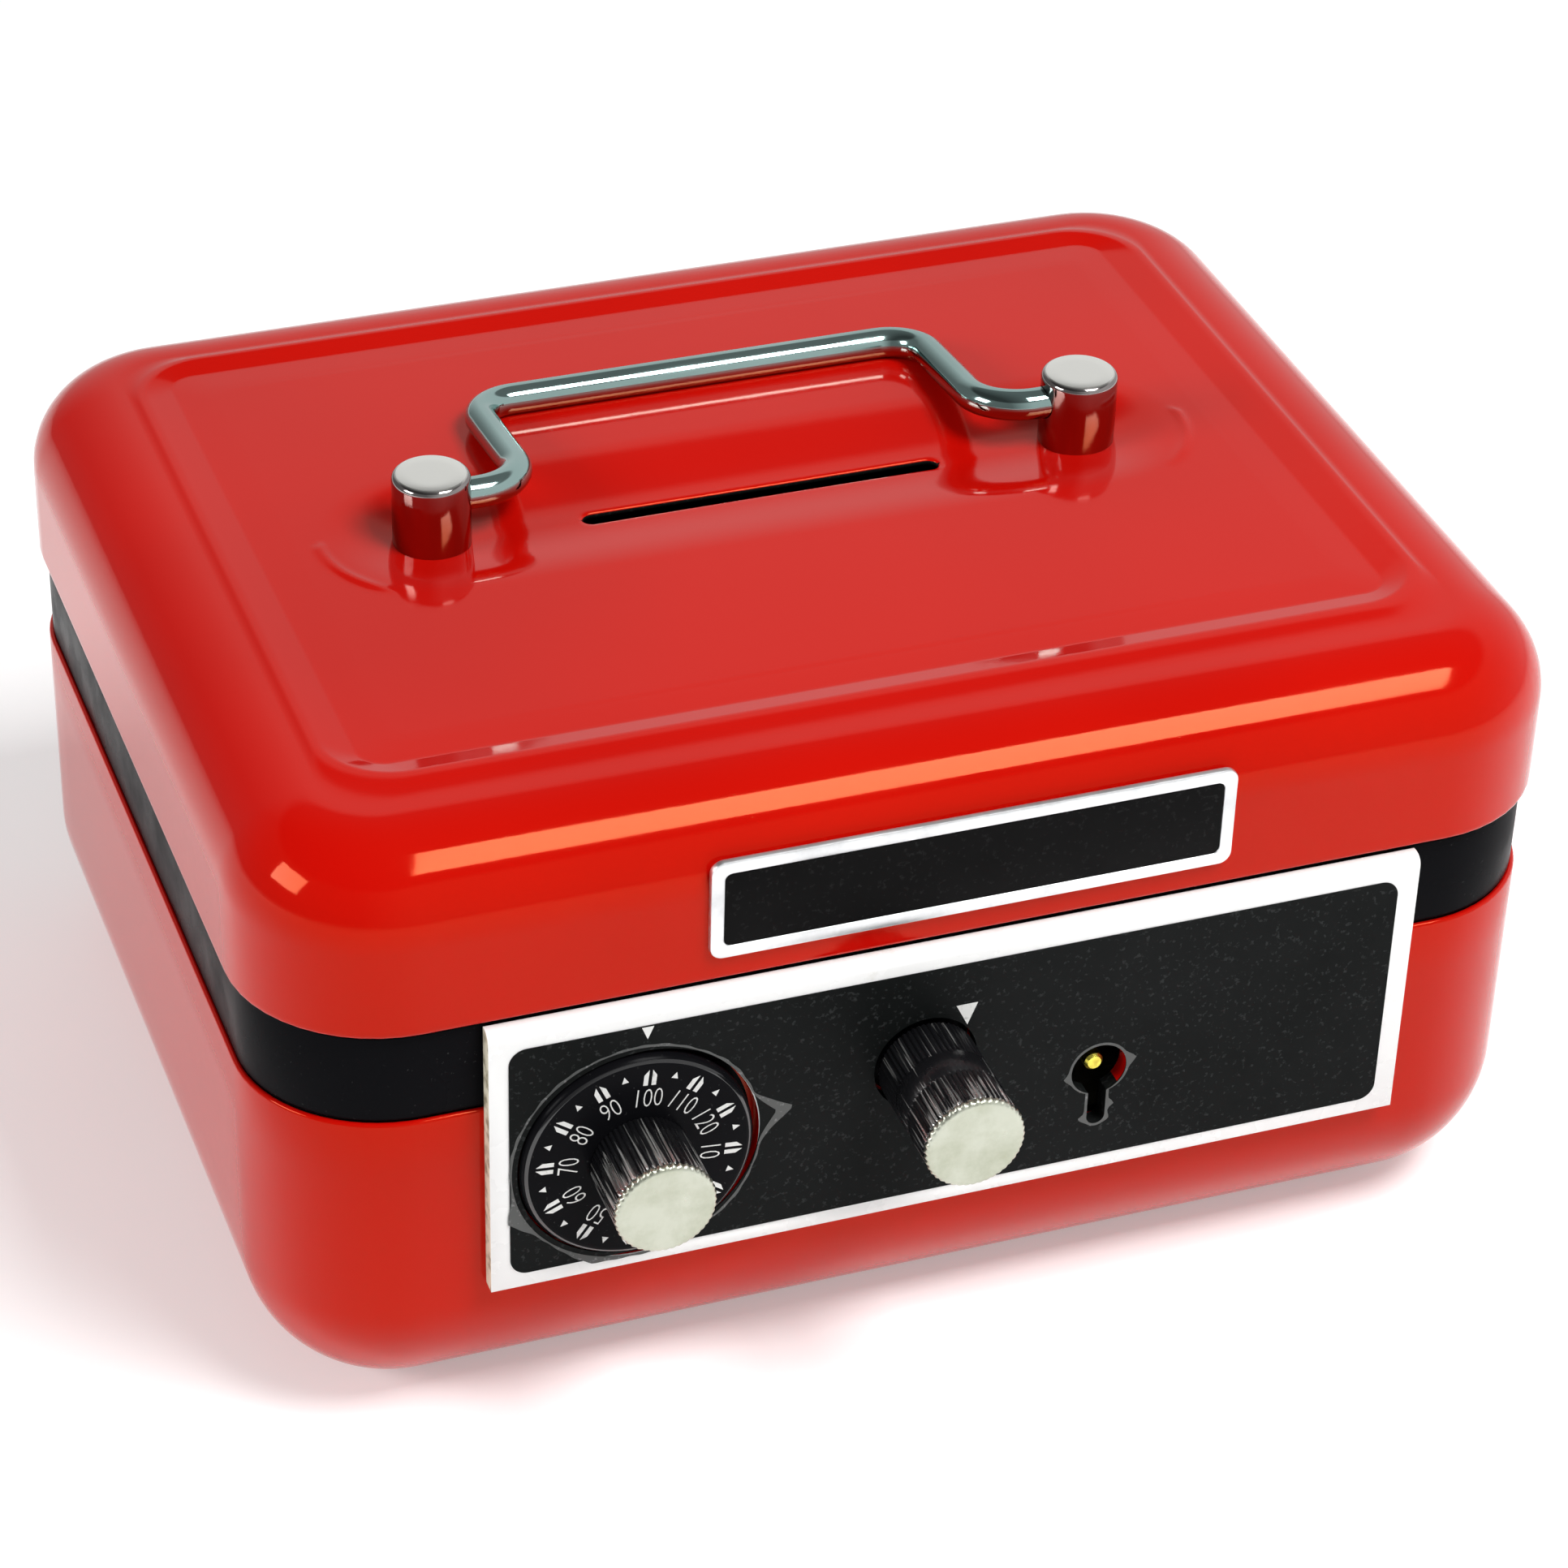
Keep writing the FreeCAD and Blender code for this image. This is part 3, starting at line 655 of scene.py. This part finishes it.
cap_metal = satin_metal("cap_metal", (0.55, 0.57, 0.48), (0.42, 0.44, 0.34), (1, 1, 1))
plate_metal = satin_metal("name_plate_metal", (0.84, 0.85, 0.86), (0.66, 0.67, 0.68), (0.04, 1, 1))
steel = satin_metal("plated_steel", (0.62, 0.61, 0.57), (0.42, 0.40, 0.35), (0.05, 1, 1))
spring_steel = satin_metal("spring_wire", (0.46, 0.46, 0.47), (0.30, 0.29, 0.28), (1, 1, 1))
pin_brass = brass("pin_brass")
raw_edge = cut_edge("cut_edge")


# Red lid

def dish_height(x, y):
    """Height of the handle's dish against the panel: a shallow bowl, with a bead at its front ends."""
    along = max(-post_x, min(post_x, x))
    away = math.hypot(x - along, y - post_y)
    share = max(0.0, min(1.0, (dish_edge - away) / dish_run))
    at_end = max(0.0, min(1.0, (abs(x) - post_x - bead_start) / bead_run))
    if y >= post_y + bead_back:
        at_end = 0.0
    bead = dish_bead * at_end * math.exp(-((away - dish_edge) / dish_bead_width) ** 2)
    return bead - dish_depth * share * share * (3 - 2 * share)


def panel_height(x, y):
    crown = panel_crown * (1 - (x / crown_half_length) ** 2) * (1 - ((y - crown_y) / crown_half_depth) ** 2)
    return panel_edge_z + crown + dish_height(x, y)


def lid_rings():
    """Outer skin of the lid from its lower edge up to the coin slot."""
    rings = [box_ring(0, z, lid_sides, lid_corners) for z in lid_levels]
    centre = (shoulder_radius, ridge_z - ridge_rise - shoulder_radius)
    for inset, z in arc(centre, shoulder_radius, 180, 90, shoulder_steps):
        rings.append(box_ring(inset, z, lid_sides, lid_corners))

    shoulder = rings[-1]
    bend = rounded_ring(bend_outline, ridge_z, lid_sides, lid_corners)
    crease = rounded_ring(crease_outline, crease_z, lid_sides, lid_corners)
    panel = rounded_ring(panel_outline, panel_z, lid_sides, lid_corners)
    slot_outline = (-slot_half_length, slot_half_length, slot_y - slot_half_width,
                    slot_y + slot_half_width, slot_half_width - 0.02)
    slot = rounded_ring(slot_outline, panel_z, lid_sides, lid_corners)

    def sharp_height(at):
        """Height before rounding: -1 shoulder, 0 bend, 1 crease, 2 panel edge."""
        if at < 0:
            return ridge_z - ridge_rise * min(1, -at / ridge_share)
        if at < 1:
            return ridge_z + (crease_z - ridge_z) * at
        return crease_z + (panel_edge_z - crease_z) * min(at - 1, 1)

    def height(at):
        """Rounded height: a soft bend and panel edge, a crisp crease."""
        reach = min(0.04 + 0.2 * min(abs(at - 1), 1), at + 1)
        samples = [sharp_height(at + reach * step / 6) for step in range(-6, 7)]
        return sum(samples) / len(samples)

    def level(before, after, share, z):
        """Ring between two others, all at one height."""
        ring = []
        for first, second in zip(before, after):
            point = first.lerp(second, share)
            ring.append(Vector((point.x, point.y, z)))
        return ring

    for step in range(1, flange_steps):
        share = step / flange_steps
        rings.append(level(shoulder, bend, share, height(share - 1)))
    for step in range(slope_steps + 1):
        share = step / slope_steps
        rings.append(level(bend, crease, share, height(share)))
    for step in range(1, edge_steps + 1):
        share = step / edge_steps
        rings.append(level(crease, panel, share, height(1 + share)))
    for step in range(1, panel_steps + 1):
        ring = []
        for first, second in zip(panel, slot):
            point = first.lerp(second, step / panel_steps)
            ring.append(Vector((point.x, point.y, panel_height(point.x, point.y))))
        rings.append(ring)
    return rings


def thickened(rings, thickness, lip_steps):
    """Closed shell from an outer skin: the skin, rounded edges at both ends and an inner skin."""
    count = len(rings[0])
    inner = []
    for row, ring in enumerate(rings):
        below = rings[max(row - 1, 0)]
        above = rings[min(row + 1, len(rings) - 1)]
        moved = []
        for step in range(count):
            around = ring[(step + 1) % count] - ring[step - 1]
            upwards = above[step] - below[step]
            moved.append(ring[step] - around.cross(upwards).normalized() * thickness)
        inner.append(moved)

    def lip(outer, inside, neighbour):
        """Half-round rings from an outer edge to the inner one."""
        made = []
        for part in range(1, lip_steps):
            angle = math.pi * part / lip_steps
            ring = []
            for first, second, third in zip(outer, inside, neighbour):
                outward = (first - third).normalized() * thickness / 2
                middle = (first + second) / 2
                ring.append(middle + (first - middle) * math.cos(angle) + outward * math.sin(angle))
            made.append(ring)
        return made

    lower = lip(inner[0], rings[0], inner[1])
    upper = lip(rings[-1], inner[-1], rings[-2])
    return lower + rings + upper + inner[::-1]


lid = raw_mesh("lid_skin", *bridge(thickened(lid_rings(), sheet, 6), around=True))
finish_piece(lid, red, "lid", ["lid_shell"], sharp=60)
# Painted shade: the coin slot's inner walls take the black film instead of the red enamel.
lid.data.materials.append(black_film_and_painted_shade)
for face in lid.data.polygons:
    middle = face.center / MM
    in_slot = abs(middle.x) < slot_half_length and abs(middle.y - slot_y) < slot_half_width
    if in_slot and face.normal.z < 0.5:
        face.material_index = 1


# Red base

def base_rings(inset, floor):
    """Skin of the base from its rim down round its lower radius."""
    radius = corner_radius - inset
    rings = [box_ring(inset, z) for z in (*base_levels, floor + radius)]
    for away, z in arc((inset + radius, floor + radius), radius, 180, 270, 22)[1:]:
        rings.append(box_ring(away, z))
    return rings


def rim_edge(outside, inside, z):
    """Half-round upper edge of a sheet wall."""
    middle = (outside + inside) / 2
    radius = (inside - outside) / 2
    return [box_ring(away, level) for away, level in arc((middle, z), radius, 0, 180, 6)]


inner_rings = base_rings(base_inset + sheet, sheet)
outer_rings = base_rings(base_inset, 0.0)
edge_rings = rim_edge(base_inset, base_inset + sheet, base_rim_z)
base = raw_mesh("base_skin", *capped(inner_rings[::-1] + edge_rings[1:-1] + outer_rings))
cut(base, [
    round_cutter(dial_wall_hole, base_front - 1, base_front + 2, dial_x, dial_z),
    round_cutter(push_hole, base_front - 1, base_front + 2, push_x, push_z),
    block_cutter(key_window, base_front - 1, base_front + 2),
])
finish_piece(base, red, "base", ["base_shell"])


# Black rim frame

rim_profile = [(skirt_inset, skirt_bottom), (skirt_inset, base_rim_z), (skirt_inset, base_top)]
rim_profile += [(band_inset + 0.3, base_top)]
rim_profile += arc((band_inset + 0.5, base_top + 0.5), 0.5, 270, 180, 4)
rim_profile += arc((band_inset + 0.6, band_top - 0.6), 0.6, 180, 90, 5)
rim_profile += [(lip_inset, band_top)]
rim_profile += arc((lip_inset + 0.4, lip_top - 0.4), 0.4, 180, 90, 4)
rim_profile += arc((rim_inner_inset - 0.3, lip_top - 0.3), 0.3, 90, 0, 4)
rim_profile += [(rim_inner_inset, 50.0), (rim_inner_inset, skirt_bottom)]
rim = raw_mesh("rim_skin", *bridge([box_ring(away, z) for away, z in rim_profile], around=True))
cut(rim, [block_cutter((*lock_gap, skirt_bottom - 1, base_top), lid_front - 1, lid_front + 10)])
finish_piece(rim, black_paint, "base", ["rim_frame"])


# White front plate with its rolled top edge

def plate_holes(y0, y1):
    return [
        round_cutter(dial_hole, y0, y1, dial_x, dial_z),
        round_cutter(push_hole, y0, y1, push_x, push_z),
        keyhole_cutter(y0, y1),
    ]


plate_profile = [(base_front, plate_box[2]), (plate_front, plate_box[2])]
plate_profile += arc((plate_front + plate_roll, plate_box[3] - plate_roll), plate_roll, 180, 90, 8)
plate_profile += [(base_front, plate_box[3])]
plate_ends = [[(x, y, z) for y, z in plate_profile] for x in plate_box[:2]]
plate = raw_mesh("front_plate_sheet", *capped(plate_ends))
cut(plate, plate_holes(plate_front - 1, base_front + 1))
soften(plate, plate_edge_round)
finish_piece(plate, plate_white, "base", ["front_plate"])
for material in (raw_edge, red, black_film_and_painted_shade):
    plate.data.materials.append(material)
for face in plate.data.polygons:
    middle = face.center / MM
    at_end = middle.x < plate_box[0] + 0.3 or middle.x > plate_box[1] - 0.3
    at_hole = not at_end and plate_box[2] + 1 < middle.z < plate_box[3] - plate_roll
    if at_end and abs(face.normal.x) > 0.9:
        face.material_index = 1
    elif at_hole and abs(face.normal.y) < 0.5:
        # Hole walls that do not show red take the black film as painted shade inside the holes.
        shows_red = middle.x < dial_x + dial_hole + 1 or middle.x > key_red_from
        face.material_index = 2 if shows_red else 3

label_outline = rounded_outline(label_box, label_corner, 10)
label = raw_mesh("front_film", *extruded(label_outline, label_front, plate_front))
tear_x = dial_x + film_tear * math.sin(math.radians(tear_angle))
tear_z = dial_z + film_tear * math.cos(math.radians(tear_angle))
cut(label, [
    round_cutter(film_hole, label_front - 1, plate_front + 1, dial_x, dial_z),
    round_cutter(film_hole - 0.2, label_front - 1, plate_front + 1, tear_x, tear_z),
    round_cutter(push_hole, label_front - 1, plate_front + 1, push_x, push_z),
    keyhole_cutter(label_front - 1, plate_front + 1),
])
finish_piece(label, black_film_and_painted_shade, "base", ["front_label"])


def fringe(name, inner, outer):
    """Thin grey rim of torn film between two closed (x, z) outlines of equal length."""
    raised = label_front - fringe_thickness
    sections = ((inner, label_front), (inner, raised), (outer, raised), (outer, label_front))
    rings = [[(x, y, z) for x, z in outline] for outline, y in sections]
    made = raw_mesh(name, *bridge(rings, around=True))
    return finish_piece(made, fringe_film, "base")


def peak(at, middle, width):
    """1 at the middle, falling to 0 a width away, in a thorn's shape."""
    return max(0.0, 1 - abs(at - middle) / width) ** 1.7


def round_dial(angle, radius, sideways=0.0):
    """Point (x, z) round the dial's centre, the angle clockwise from the top as seen from the front."""
    turn = math.radians(angle)
    x = dial_x + radius * math.sin(turn) + sideways * math.cos(turn)
    z = dial_z + radius * math.cos(turn) - sideways * math.sin(turn)
    return x, z


dial_rim = []
dial_tear = []
for step in range(240):
    angle = 1.5 * step
    ragged = 0.07 * math.sin(0.16 * angle) + 0.05 * math.sin(0.61 * angle)
    thorn = dial_thorn[0] * peak(angle, *dial_thorn[1:])
    barbs = sum(height * peak(angle, middle, width) for height, middle, width in dial_barbs)
    dial_rim.append(round_dial(angle, dial_hole + 0.05 + 0.55 * thorn))
    dial_tear.append(round_dial(angle, dial_hole + 0.33 + ragged + thorn + barbs))
fringe("dial_film_fringe", dial_rim, dial_tear)

key_rim = []
key_tear = []
for x, z in keyhole_outline(8):
    away = Vector((x - key_x, z - max(min(z, key_z), keyhole_bottom + 1))).normalized()
    if keyhole_bottom + 1 < z < key_z - keyhole_radius:
        away = Vector((math.copysign(1, x - key_x), 0))
    reach = keyhole_fringe
    for tip_x, tip_z, height, width in keyhole_thorns:
        reach += height * peak(math.hypot(x - tip_x, z - tip_z), 0, width)
    key_rim.append((x, z))
    key_tear.append((x + away.x * reach, z + away.y * reach))
fringe("keyhole_film_fringe", key_rim, key_tear)


# Name plate: metal border round a bare black field

def stepped(sections):
    """Skin of the name plate from (inset, corner radius, y) sections."""
    x0, x1, z0, z1 = name_box
    rings = []
    for inset, radius, y in sections:
        limits = (x0 + inset, x1 - inset, z0 + inset, z1 - inset)
        rings.append([(x, y, z) for x, z in rounded_outline(limits, radius, 8)])
    return capped(rings)


field_y = name_front + name_field_depth
name_metal = raw_mesh("name_plate_border", *stepped([
    (0, 1.5, lid_front), (0, 1.5, name_front + 0.25), (0.08, 1.42, name_front + 0.08),
    (0.25, 1.3, name_front), (name_border - 0.12, 0.95, name_front),
    (name_border, 0.9, name_front + 0.05), (name_border + 0.05, 0.9, field_y),
]))
finish_piece(name_metal, plate_metal, "lid", ["name_plate"])
field = raw_mesh("name_plate_field", *stepped([
    (name_border + 0.06, 0.85, field_y + 0.05), (name_border + 0.06, 0.85, field_y - 0.03),
    (name_border + 0.12, 0.8, field_y - 0.05),
]))
finish_piece(field, name_film, "lid")


# Dial

disc_profile = [(2.0, dial_back), (dial_radius - 0.2, dial_back), (dial_radius, dial_back - 0.2),
                (dial_radius, dial_face + dial_bevel)]
disc_profile += [(dial_radius - 0.35, dial_face + 0.32), (dial_radius - 0.7, dial_face + 0.10),
                 (dial_radius - 1.1, dial_face), (2.0, dial_face)]
disc = raw_mesh("dial_face_disc", *bridge(turned_along_y(disc_profile, dial_x, dial_z, 128), around=True))
finish_piece(disc, black_plastic, "dial", ["dial_disc"])
disc.data.materials.append(rim_black)
for face in disc.data.polygons:
    middle = face.center / MM
    away = math.hypot(middle.x - dial_x, middle.z - dial_z)
    if dial_radius - 0.70 < away < dial_radius - 0.35:
        face.material_index = 1


def on_dial(angle, radius, sideways=0.0):
    """Point (x, z) on the dial's face, the angle counted from its number 100."""
    return round_dial(angle + dial_turn, radius, sideways)


def printed(name, outlines, y, body):
    """Thin raised print from closed (x, z) outlines."""
    points = []
    faces = []
    for outline in outlines:
        made, sides = extruded(outline, y - print_proud, y + print_sunk)
        faces += [tuple(index + len(points) for index in side) for side in sides]
        points += made
    marks = raw_mesh(name, points, faces)
    return finish_piece(marks, print_white, body)


bars = []
for number in range(12):
    angle = 30 * number
    for side in (-1, 1):
        near = side * bar_near
        far = side * bar_far
        bars.append([on_dial(angle, bar_foot, near), on_dial(angle, bar_foot, far),
                     on_dial(angle, bar_shoulder, far), on_dial(angle, bar_tip, near)])
    middle = angle + 15
    bars.append([on_dial(middle, tick_tip), on_dial(middle, tick_foot, tick_half_width),
                 on_dial(middle, tick_foot, -tick_half_width)])
printed("dial_marks", bars, dial_face, "dial")


def numeral(value, angle):
    """Flat mesh of a number set on the dial, its foot towards the centre."""
    text = bpy.data.curves.new("numeral", "FONT")
    text.body = str(value)
    text.size = numeral_size
    text.offset = -0.055
    text.align_x = "CENTER"
    text.resolution_u = 3
    holder = link("numeral", text)
    bpy.context.view_layer.update()
    done = holder.evaluated_get(bpy.context.evaluated_depsgraph_get())
    flat = bpy.data.meshes.new_from_object(done)
    bpy.data.objects.remove(holder)
    for vertex in flat.vertices:
        x, z = on_dial(angle, numeral_foot + vertex.co.y, vertex.co.x * numeral_narrowing)
        vertex.co = Vector((x, dial_face - print_proud, z)) * MM
    return flat


work = bmesh.new()
for number in range(1, 13):
    work.from_mesh(numeral(10 * number, 30 * number - 300))
bmesh.ops.recalc_face_normals(work, faces=work.faces)
numbers = bpy.data.meshes.new("dial_numbers")
work.to_mesh(numbers)
work.free()
finish_piece(link("dial_numbers", numbers), print_white, "dial")


# Knurled knobs with metal caps

def ridged_ring(radius, depth, y, x, z, ridges):
    """Closed ring with rounded ridges; four points each."""
    ring = []
    for step in range(4 * ridges):
        angle = 2 * math.pi * step / (4 * ridges)
        reach = radius - depth * ridge_shape[step % 4]
        ring.append((x + reach * math.cos(angle), y, z + reach * math.sin(angle)))
    return ring


def knob(name, sections, x, z, coat, body, stands_for):
    """Knob from (y, radius, ridge depth) sections, front to back."""
    rings = [ridged_ring(radius, depth, y, x, z, knob_ridges) for y, radius, depth in sections]
    made = raw_mesh(name, *capped(rings))
    return finish_piece(made, coat, body, stands_for, sharp=50)


def cap(name, x, z, front, body, stands_for):
    """Metal cap with a toothed rim and a slightly hollow face."""
    y = front - cap_thickness
    sections = [
        (front, cap_radius - 0.25, 0), (front - 0.12, cap_radius, 0.22), (y + 0.42, cap_radius, 0.22),
        (y + 0.22, cap_radius - 0.15, 0.12), (y + 0.03, cap_radius - 0.42, 0.02),
        (y, cap_radius - 0.75, 0), (y + 0.05, 3.0, 0), (y + 0.07, 0.6, 0),
    ]
    rings = [ridged_ring(radius, depth, level, x, z, cap_ridges) for level, radius, depth in sections]
    made = raw_mesh(name, *capped(rings))
    return finish_piece(made, cap_metal, body, stands_for, sharp=50)


def knob_end(front):
    """Rounded front end of a knob, as (y, radius, ridge depth) sections."""
    return [(front, knob_radius - 0.3, 0), (front + 0.25, knob_radius - 0.1, 0.25),
            (front + 0.5, knob_radius, 0.3)]


def knob_foot(rear):
    """Rear end of a knob, as (y, radius, ridge depth) sections."""
    return [(rear - 0.3, knob_radius, 0.3), (rear, knob_radius - 0.1, 0.2)]


smooth_band = [
    (push_band[0] - 0.2, knob_radius, 0.3), (push_band[0], knob_radius - 0.1, 0.05),
    (push_band[0] + 0.2, knob_radius, 0), (push_band[1] - 0.2, knob_radius, 0),
    (push_band[1], knob_radius - 0.1, 0.05), (push_band[1] + 0.2, knob_radius, 0.3),
]
knob("dial_grip", knob_end(dial_knob_front) + knob_foot(dial_face),
     dial_x, dial_z, dial_knob_highlight, "dial", ["dial_knob"])
cap("dial_cap_face", dial_x, dial_z, dial_knob_front, "dial", ["dial_cap"])
knob("push_grip", knob_end(push_front) + smooth_band + knob_foot(push_rear),
     push_x, push_z, push_knob_highlight, "push", ["push_knob"])
cap("push_cap_face", push_x, push_z, push_front, "push", ["push_cap"])


# Return spring of the push knob, held at its rear end by the lock cover

def coil(front, rear):
    """Rings of a round wire wound along Y."""
    rings = []
    steps = 48 * spring_turns
    for step in range(steps + 1):
        angle = 2 * math.pi * spring_turns * step / steps
        outward = Vector((math.cos(angle), 0, math.sin(angle)))
        axis_point = Vector((push_x, front + (rear - front) * step / steps, push_z))
        ring = []
        for turn in range(12):
            around = 2 * math.pi * turn / 12
            across = spring_radius + spring_wire * math.cos(around)
            ring.append(axis_point + outward * across + Vector((0, spring_wire * math.sin(around), 0)))
        rings.append(ring)
    return rings


spring_low, spring_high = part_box("push_spring")
spring_rings = coil(spring_low.y / MM + spring_wire, spring_high.y / MM - spring_wire)
spring = raw_mesh("spring_coil", *capped(spring_rings))
finish_piece(spring, spring_steel, "base", ["push_spring"])
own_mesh(spring)


# Drill pin in the keyhole

pin_profile = [(0.25, key_pin_front), (0.8, key_pin_front + 0.06), (key_pin_radius, key_pin_front + 0.35),
               (key_pin_radius, key_pin_back)]
pin = raw_mesh("key_pin_turned", *capped(turned_along_y(pin_profile, key_x, key_z, 40)))
finish_piece(pin, pin_brass, "base", ["key_pin"])


# Handle posts and bail

for side, name in ((-1, "left"), (1, "right")):
    profile = [(post_radius - 0.1, post_bottom), (post_radius, post_bottom + 0.15),
               (post_radius, post_top - post_round)]
    profile += arc((post_radius - post_round, post_top - post_round), post_round, 0, 80, 7)[1:]
    profile += [(2.5, post_top), (0.8, post_top)]
    post = raw_mesh("post_" + name, *capped(turned_along_z(profile, side * post_x, post_y, 96)))
    hole = round_cutter(wire_radius + wire_play, post_radius * -2, 0, 0, 0, 48)
    hole.matrix_world = (Matrix.Translation(Vector((side * wire_hole_end, post_y, wire_z)) * MM)
                         @ Matrix.Rotation(math.radians(-90 * side), 4, "Z"))
    cut(post, [hole])
    finish_piece(post, post_metal, "lid", ["handle_post_" + name])


def bail_path():
    """Centre line of the handle's wire, lying flat behind the posts' axis."""
    inner_start = bail_arm_x + bail_inner_bend
    grip_end = bail_arm_x - bail_outer_bend
    right = [(wire_end_x, 0.0), (37.0, 0.0), (35.5, 0.0)]
    right += arc((inner_start, bail_inner_bend), bail_inner_bend, 270, 180, 14)
    right += [(bail_arm_x, 9.0), (bail_arm_x, 12.0), (bail_arm_x, 15.5)]
    right += arc((grip_end, bail_reach - bail_outer_bend), bail_outer_bend, 0, 90, 14)
    right += [(18.0, bail_reach), (12.0, bail_reach), (6.0, bail_reach)]
    left = [(-x, y) for x, y in reversed(right)]
    return [Vector((x, y, 0)) for x, y in right + [(0.0, bail_reach)] + left]


def tube(path, radius, steps):
    """Rings of a round wire along a flat path."""
    rings = []
    for index, point in enumerate(path):
        ahead = path[min(index + 1, len(path) - 1)] - path[max(index - 1, 0)]
        across = ahead.cross(Vector((0, 0, 1))).normalized()
        ring = []
        for step in range(steps):
            angle = 2 * math.pi * step / steps
            upwards = Vector((0, 0, radius * math.sin(angle)))
            ring.append(point + across * radius * math.cos(angle) + upwards)
        rings.append(ring)
    return rings


tilt = Matrix.Rotation(-math.asin(bail_drop / bail_reach), 4, "X")
lift = Matrix.Translation((0, post_y, wire_z))
bail_rings = [[lift @ tilt @ point for point in ring] for ring in tube(bail_path(), wire_radius, 36)]
bail = raw_mesh("bail_wire", *capped(bail_rings))
finish_piece(bail, bright_chrome, "handle", ["handle_bail"])


# Printed triangles above the dial and the push knob

printed("label_marks", [dial_triangle, push_triangle], label_front, "base")


# Materials of the hardware that keeps its own solid

node_finish = {
    "lock_plate": black_paint, "lock_cover": steel, "bolt_stumps": steel, "catch_plate": steel,
    "post_screws": steel, "dial_spindle": steel, "combination_wheel": pin_brass, "push_rod": steel,
    "latch_hook": steel, "lock_bolt": pin_brass,
}
for side in ("left", "right"):
    node_finish["hinge_leaf_base_" + side] = steel
    node_finish["hinge_leaf_lid_" + side] = steel
    node_finish["hinge_pin_" + side] = steel
for name, material in node_finish.items():
    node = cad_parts[name]
    node.data.materials.clear()
    node.data.materials.append(material)


# Floor, light and camera

scene = bpy.context.scene
scene.view_settings.view_transform = "Standard"


def floor_material():
    """Pale floor that shows white to the camera and in reflections."""
    made = Finish("pale_floor", (0.90, 0.90, 0.90), 0.9)
    made.shader.inputs["Specular IOR Level"].default_value = 0.0
    grain = made.between(made.noise(30, 2), 0.3, 0.7, 0, 1)
    made.colour(made.mixed(grain, (0.90, 0.90, 0.90), (0.88, 0.88, 0.88)))
    made.shader.inputs["Emission Color"].default_value = (1, 1, 1, 1)
    path = made.nodes.new("ShaderNodeLightPath")
    seen = path.outputs["Is Camera Ray"]
    for name in ("Is Glossy Ray", "Is Transmission Ray"):
        either = made.nodes.new("ShaderNodeMath")
        either.operation = "MAXIMUM"
        made.links.new(seen, either.inputs[0])
        made.links.new(path.outputs[name], either.inputs[1])
        seen = either.outputs["Value"]
    made.links.new(made.between(seen, 0, 1, 0, floor_glow), made.shader.inputs["Emission Strength"])
    return made.material


floor_signs = ((-1, -1), (1, -1), (1, 1), (-1, 1))
floor_corners = [(x * floor_half, y * floor_half, -floor_drop) for x, y in floor_signs]
floor = raw_mesh("floor", floor_corners, [(0, 1, 2, 3)])
floor.data.materials.append(floor_material())


def make_world():
    """Pale studio wall with a dark ceiling above about 40 degrees, both darker to the left."""
    world = bpy.data.worlds.new("studio")
    scene.world = world
    world.use_nodes = True
    nodes = world.node_tree.nodes
    links = world.node_tree.links
    place = nodes.new("ShaderNodeTexCoord")
    parts = nodes.new("ShaderNodeSeparateXYZ")
    links.new(place.outputs["Generated"], parts.inputs["Vector"])
    ramp = nodes.new("ShaderNodeValToRGB")
    levels = ((wall_end, wall_bright), (ceiling_start, ceiling_bright))
    for stop, (sine, bright) in zip(ramp.color_ramp.elements, levels):
        stop.position = sine
        stop.color = (bright, bright, bright, 1)
    links.new(parts.outputs["Z"], ramp.inputs["Fac"])
    links.new(ramp.outputs["Color"], nodes["Background"].inputs["Color"])
    side = nodes.new("ShaderNodeMapRange")
    side.inputs["From Min"].default_value = dark_side_x[0]
    side.inputs["From Max"].default_value = dark_side_x[1]
    side.inputs["To Min"].default_value = dark_side_share
    side.inputs["To Max"].default_value = 1.0
    links.new(parts.outputs["X"], side.inputs["Value"])
    links.new(side.outputs["Result"], nodes["Background"].inputs["Strength"])


make_world()


def soft_light(name, size, energy, place, target):
    """Rectangular light at a place in metres, turned to face a target."""
    made = bpy.data.lights.new(name, "AREA")
    made.shape = "RECTANGLE"
    made.size = size[0]
    made.size_y = size[1]
    made.energy = energy
    holder = link(name, made)
    aim = Vector(target) - Vector(place)
    facing = aim.to_track_quat("-Z", "Y").to_matrix().to_4x4()
    holder.matrix_world = Matrix.Translation(place) @ facing


soft_light("softbox", (0.40, 0.42), 9.2, (0.32, -0.43, 0.88), (0.32, -0.43, 0.0))
soft_light("left_window", (0.55, 0.42), 8.5, (-1.23, -0.10, 0.66), (-0.07, -0.05, 0.07))

yaw = math.radians(camera_yaw)
pitch = math.radians(camera_pitch)
roll = math.radians(camera_roll)
level_forward = Vector((math.sin(yaw), math.cos(yaw), 0))
forward = level_forward * math.cos(pitch) - Vector((0, 0, math.sin(pitch)))
level_right = Vector((math.cos(yaw), -math.sin(yaw), 0))
level_up = level_right.cross(forward)
camera_right = level_right * math.cos(roll) + level_up * math.sin(roll)
camera_up = level_up * math.cos(roll) - level_right * math.sin(roll)
lens = bpy.data.cameras.new("camera")
lens.sensor_width = sensor_width
lens.lens = sensor_width * focal_pixels / photo_size
lens.shift_x = picture_shift[0] / photo_size
lens.shift_y = picture_shift[1] / photo_size
lens.clip_start = 0.01
camera = link("camera", lens)
turn = Matrix((camera_right, camera_up, -forward)).transposed().to_4x4()
camera.matrix_world = Matrix.Translation(Vector(camera_place) * MM) @ turn
scene.camera = camera
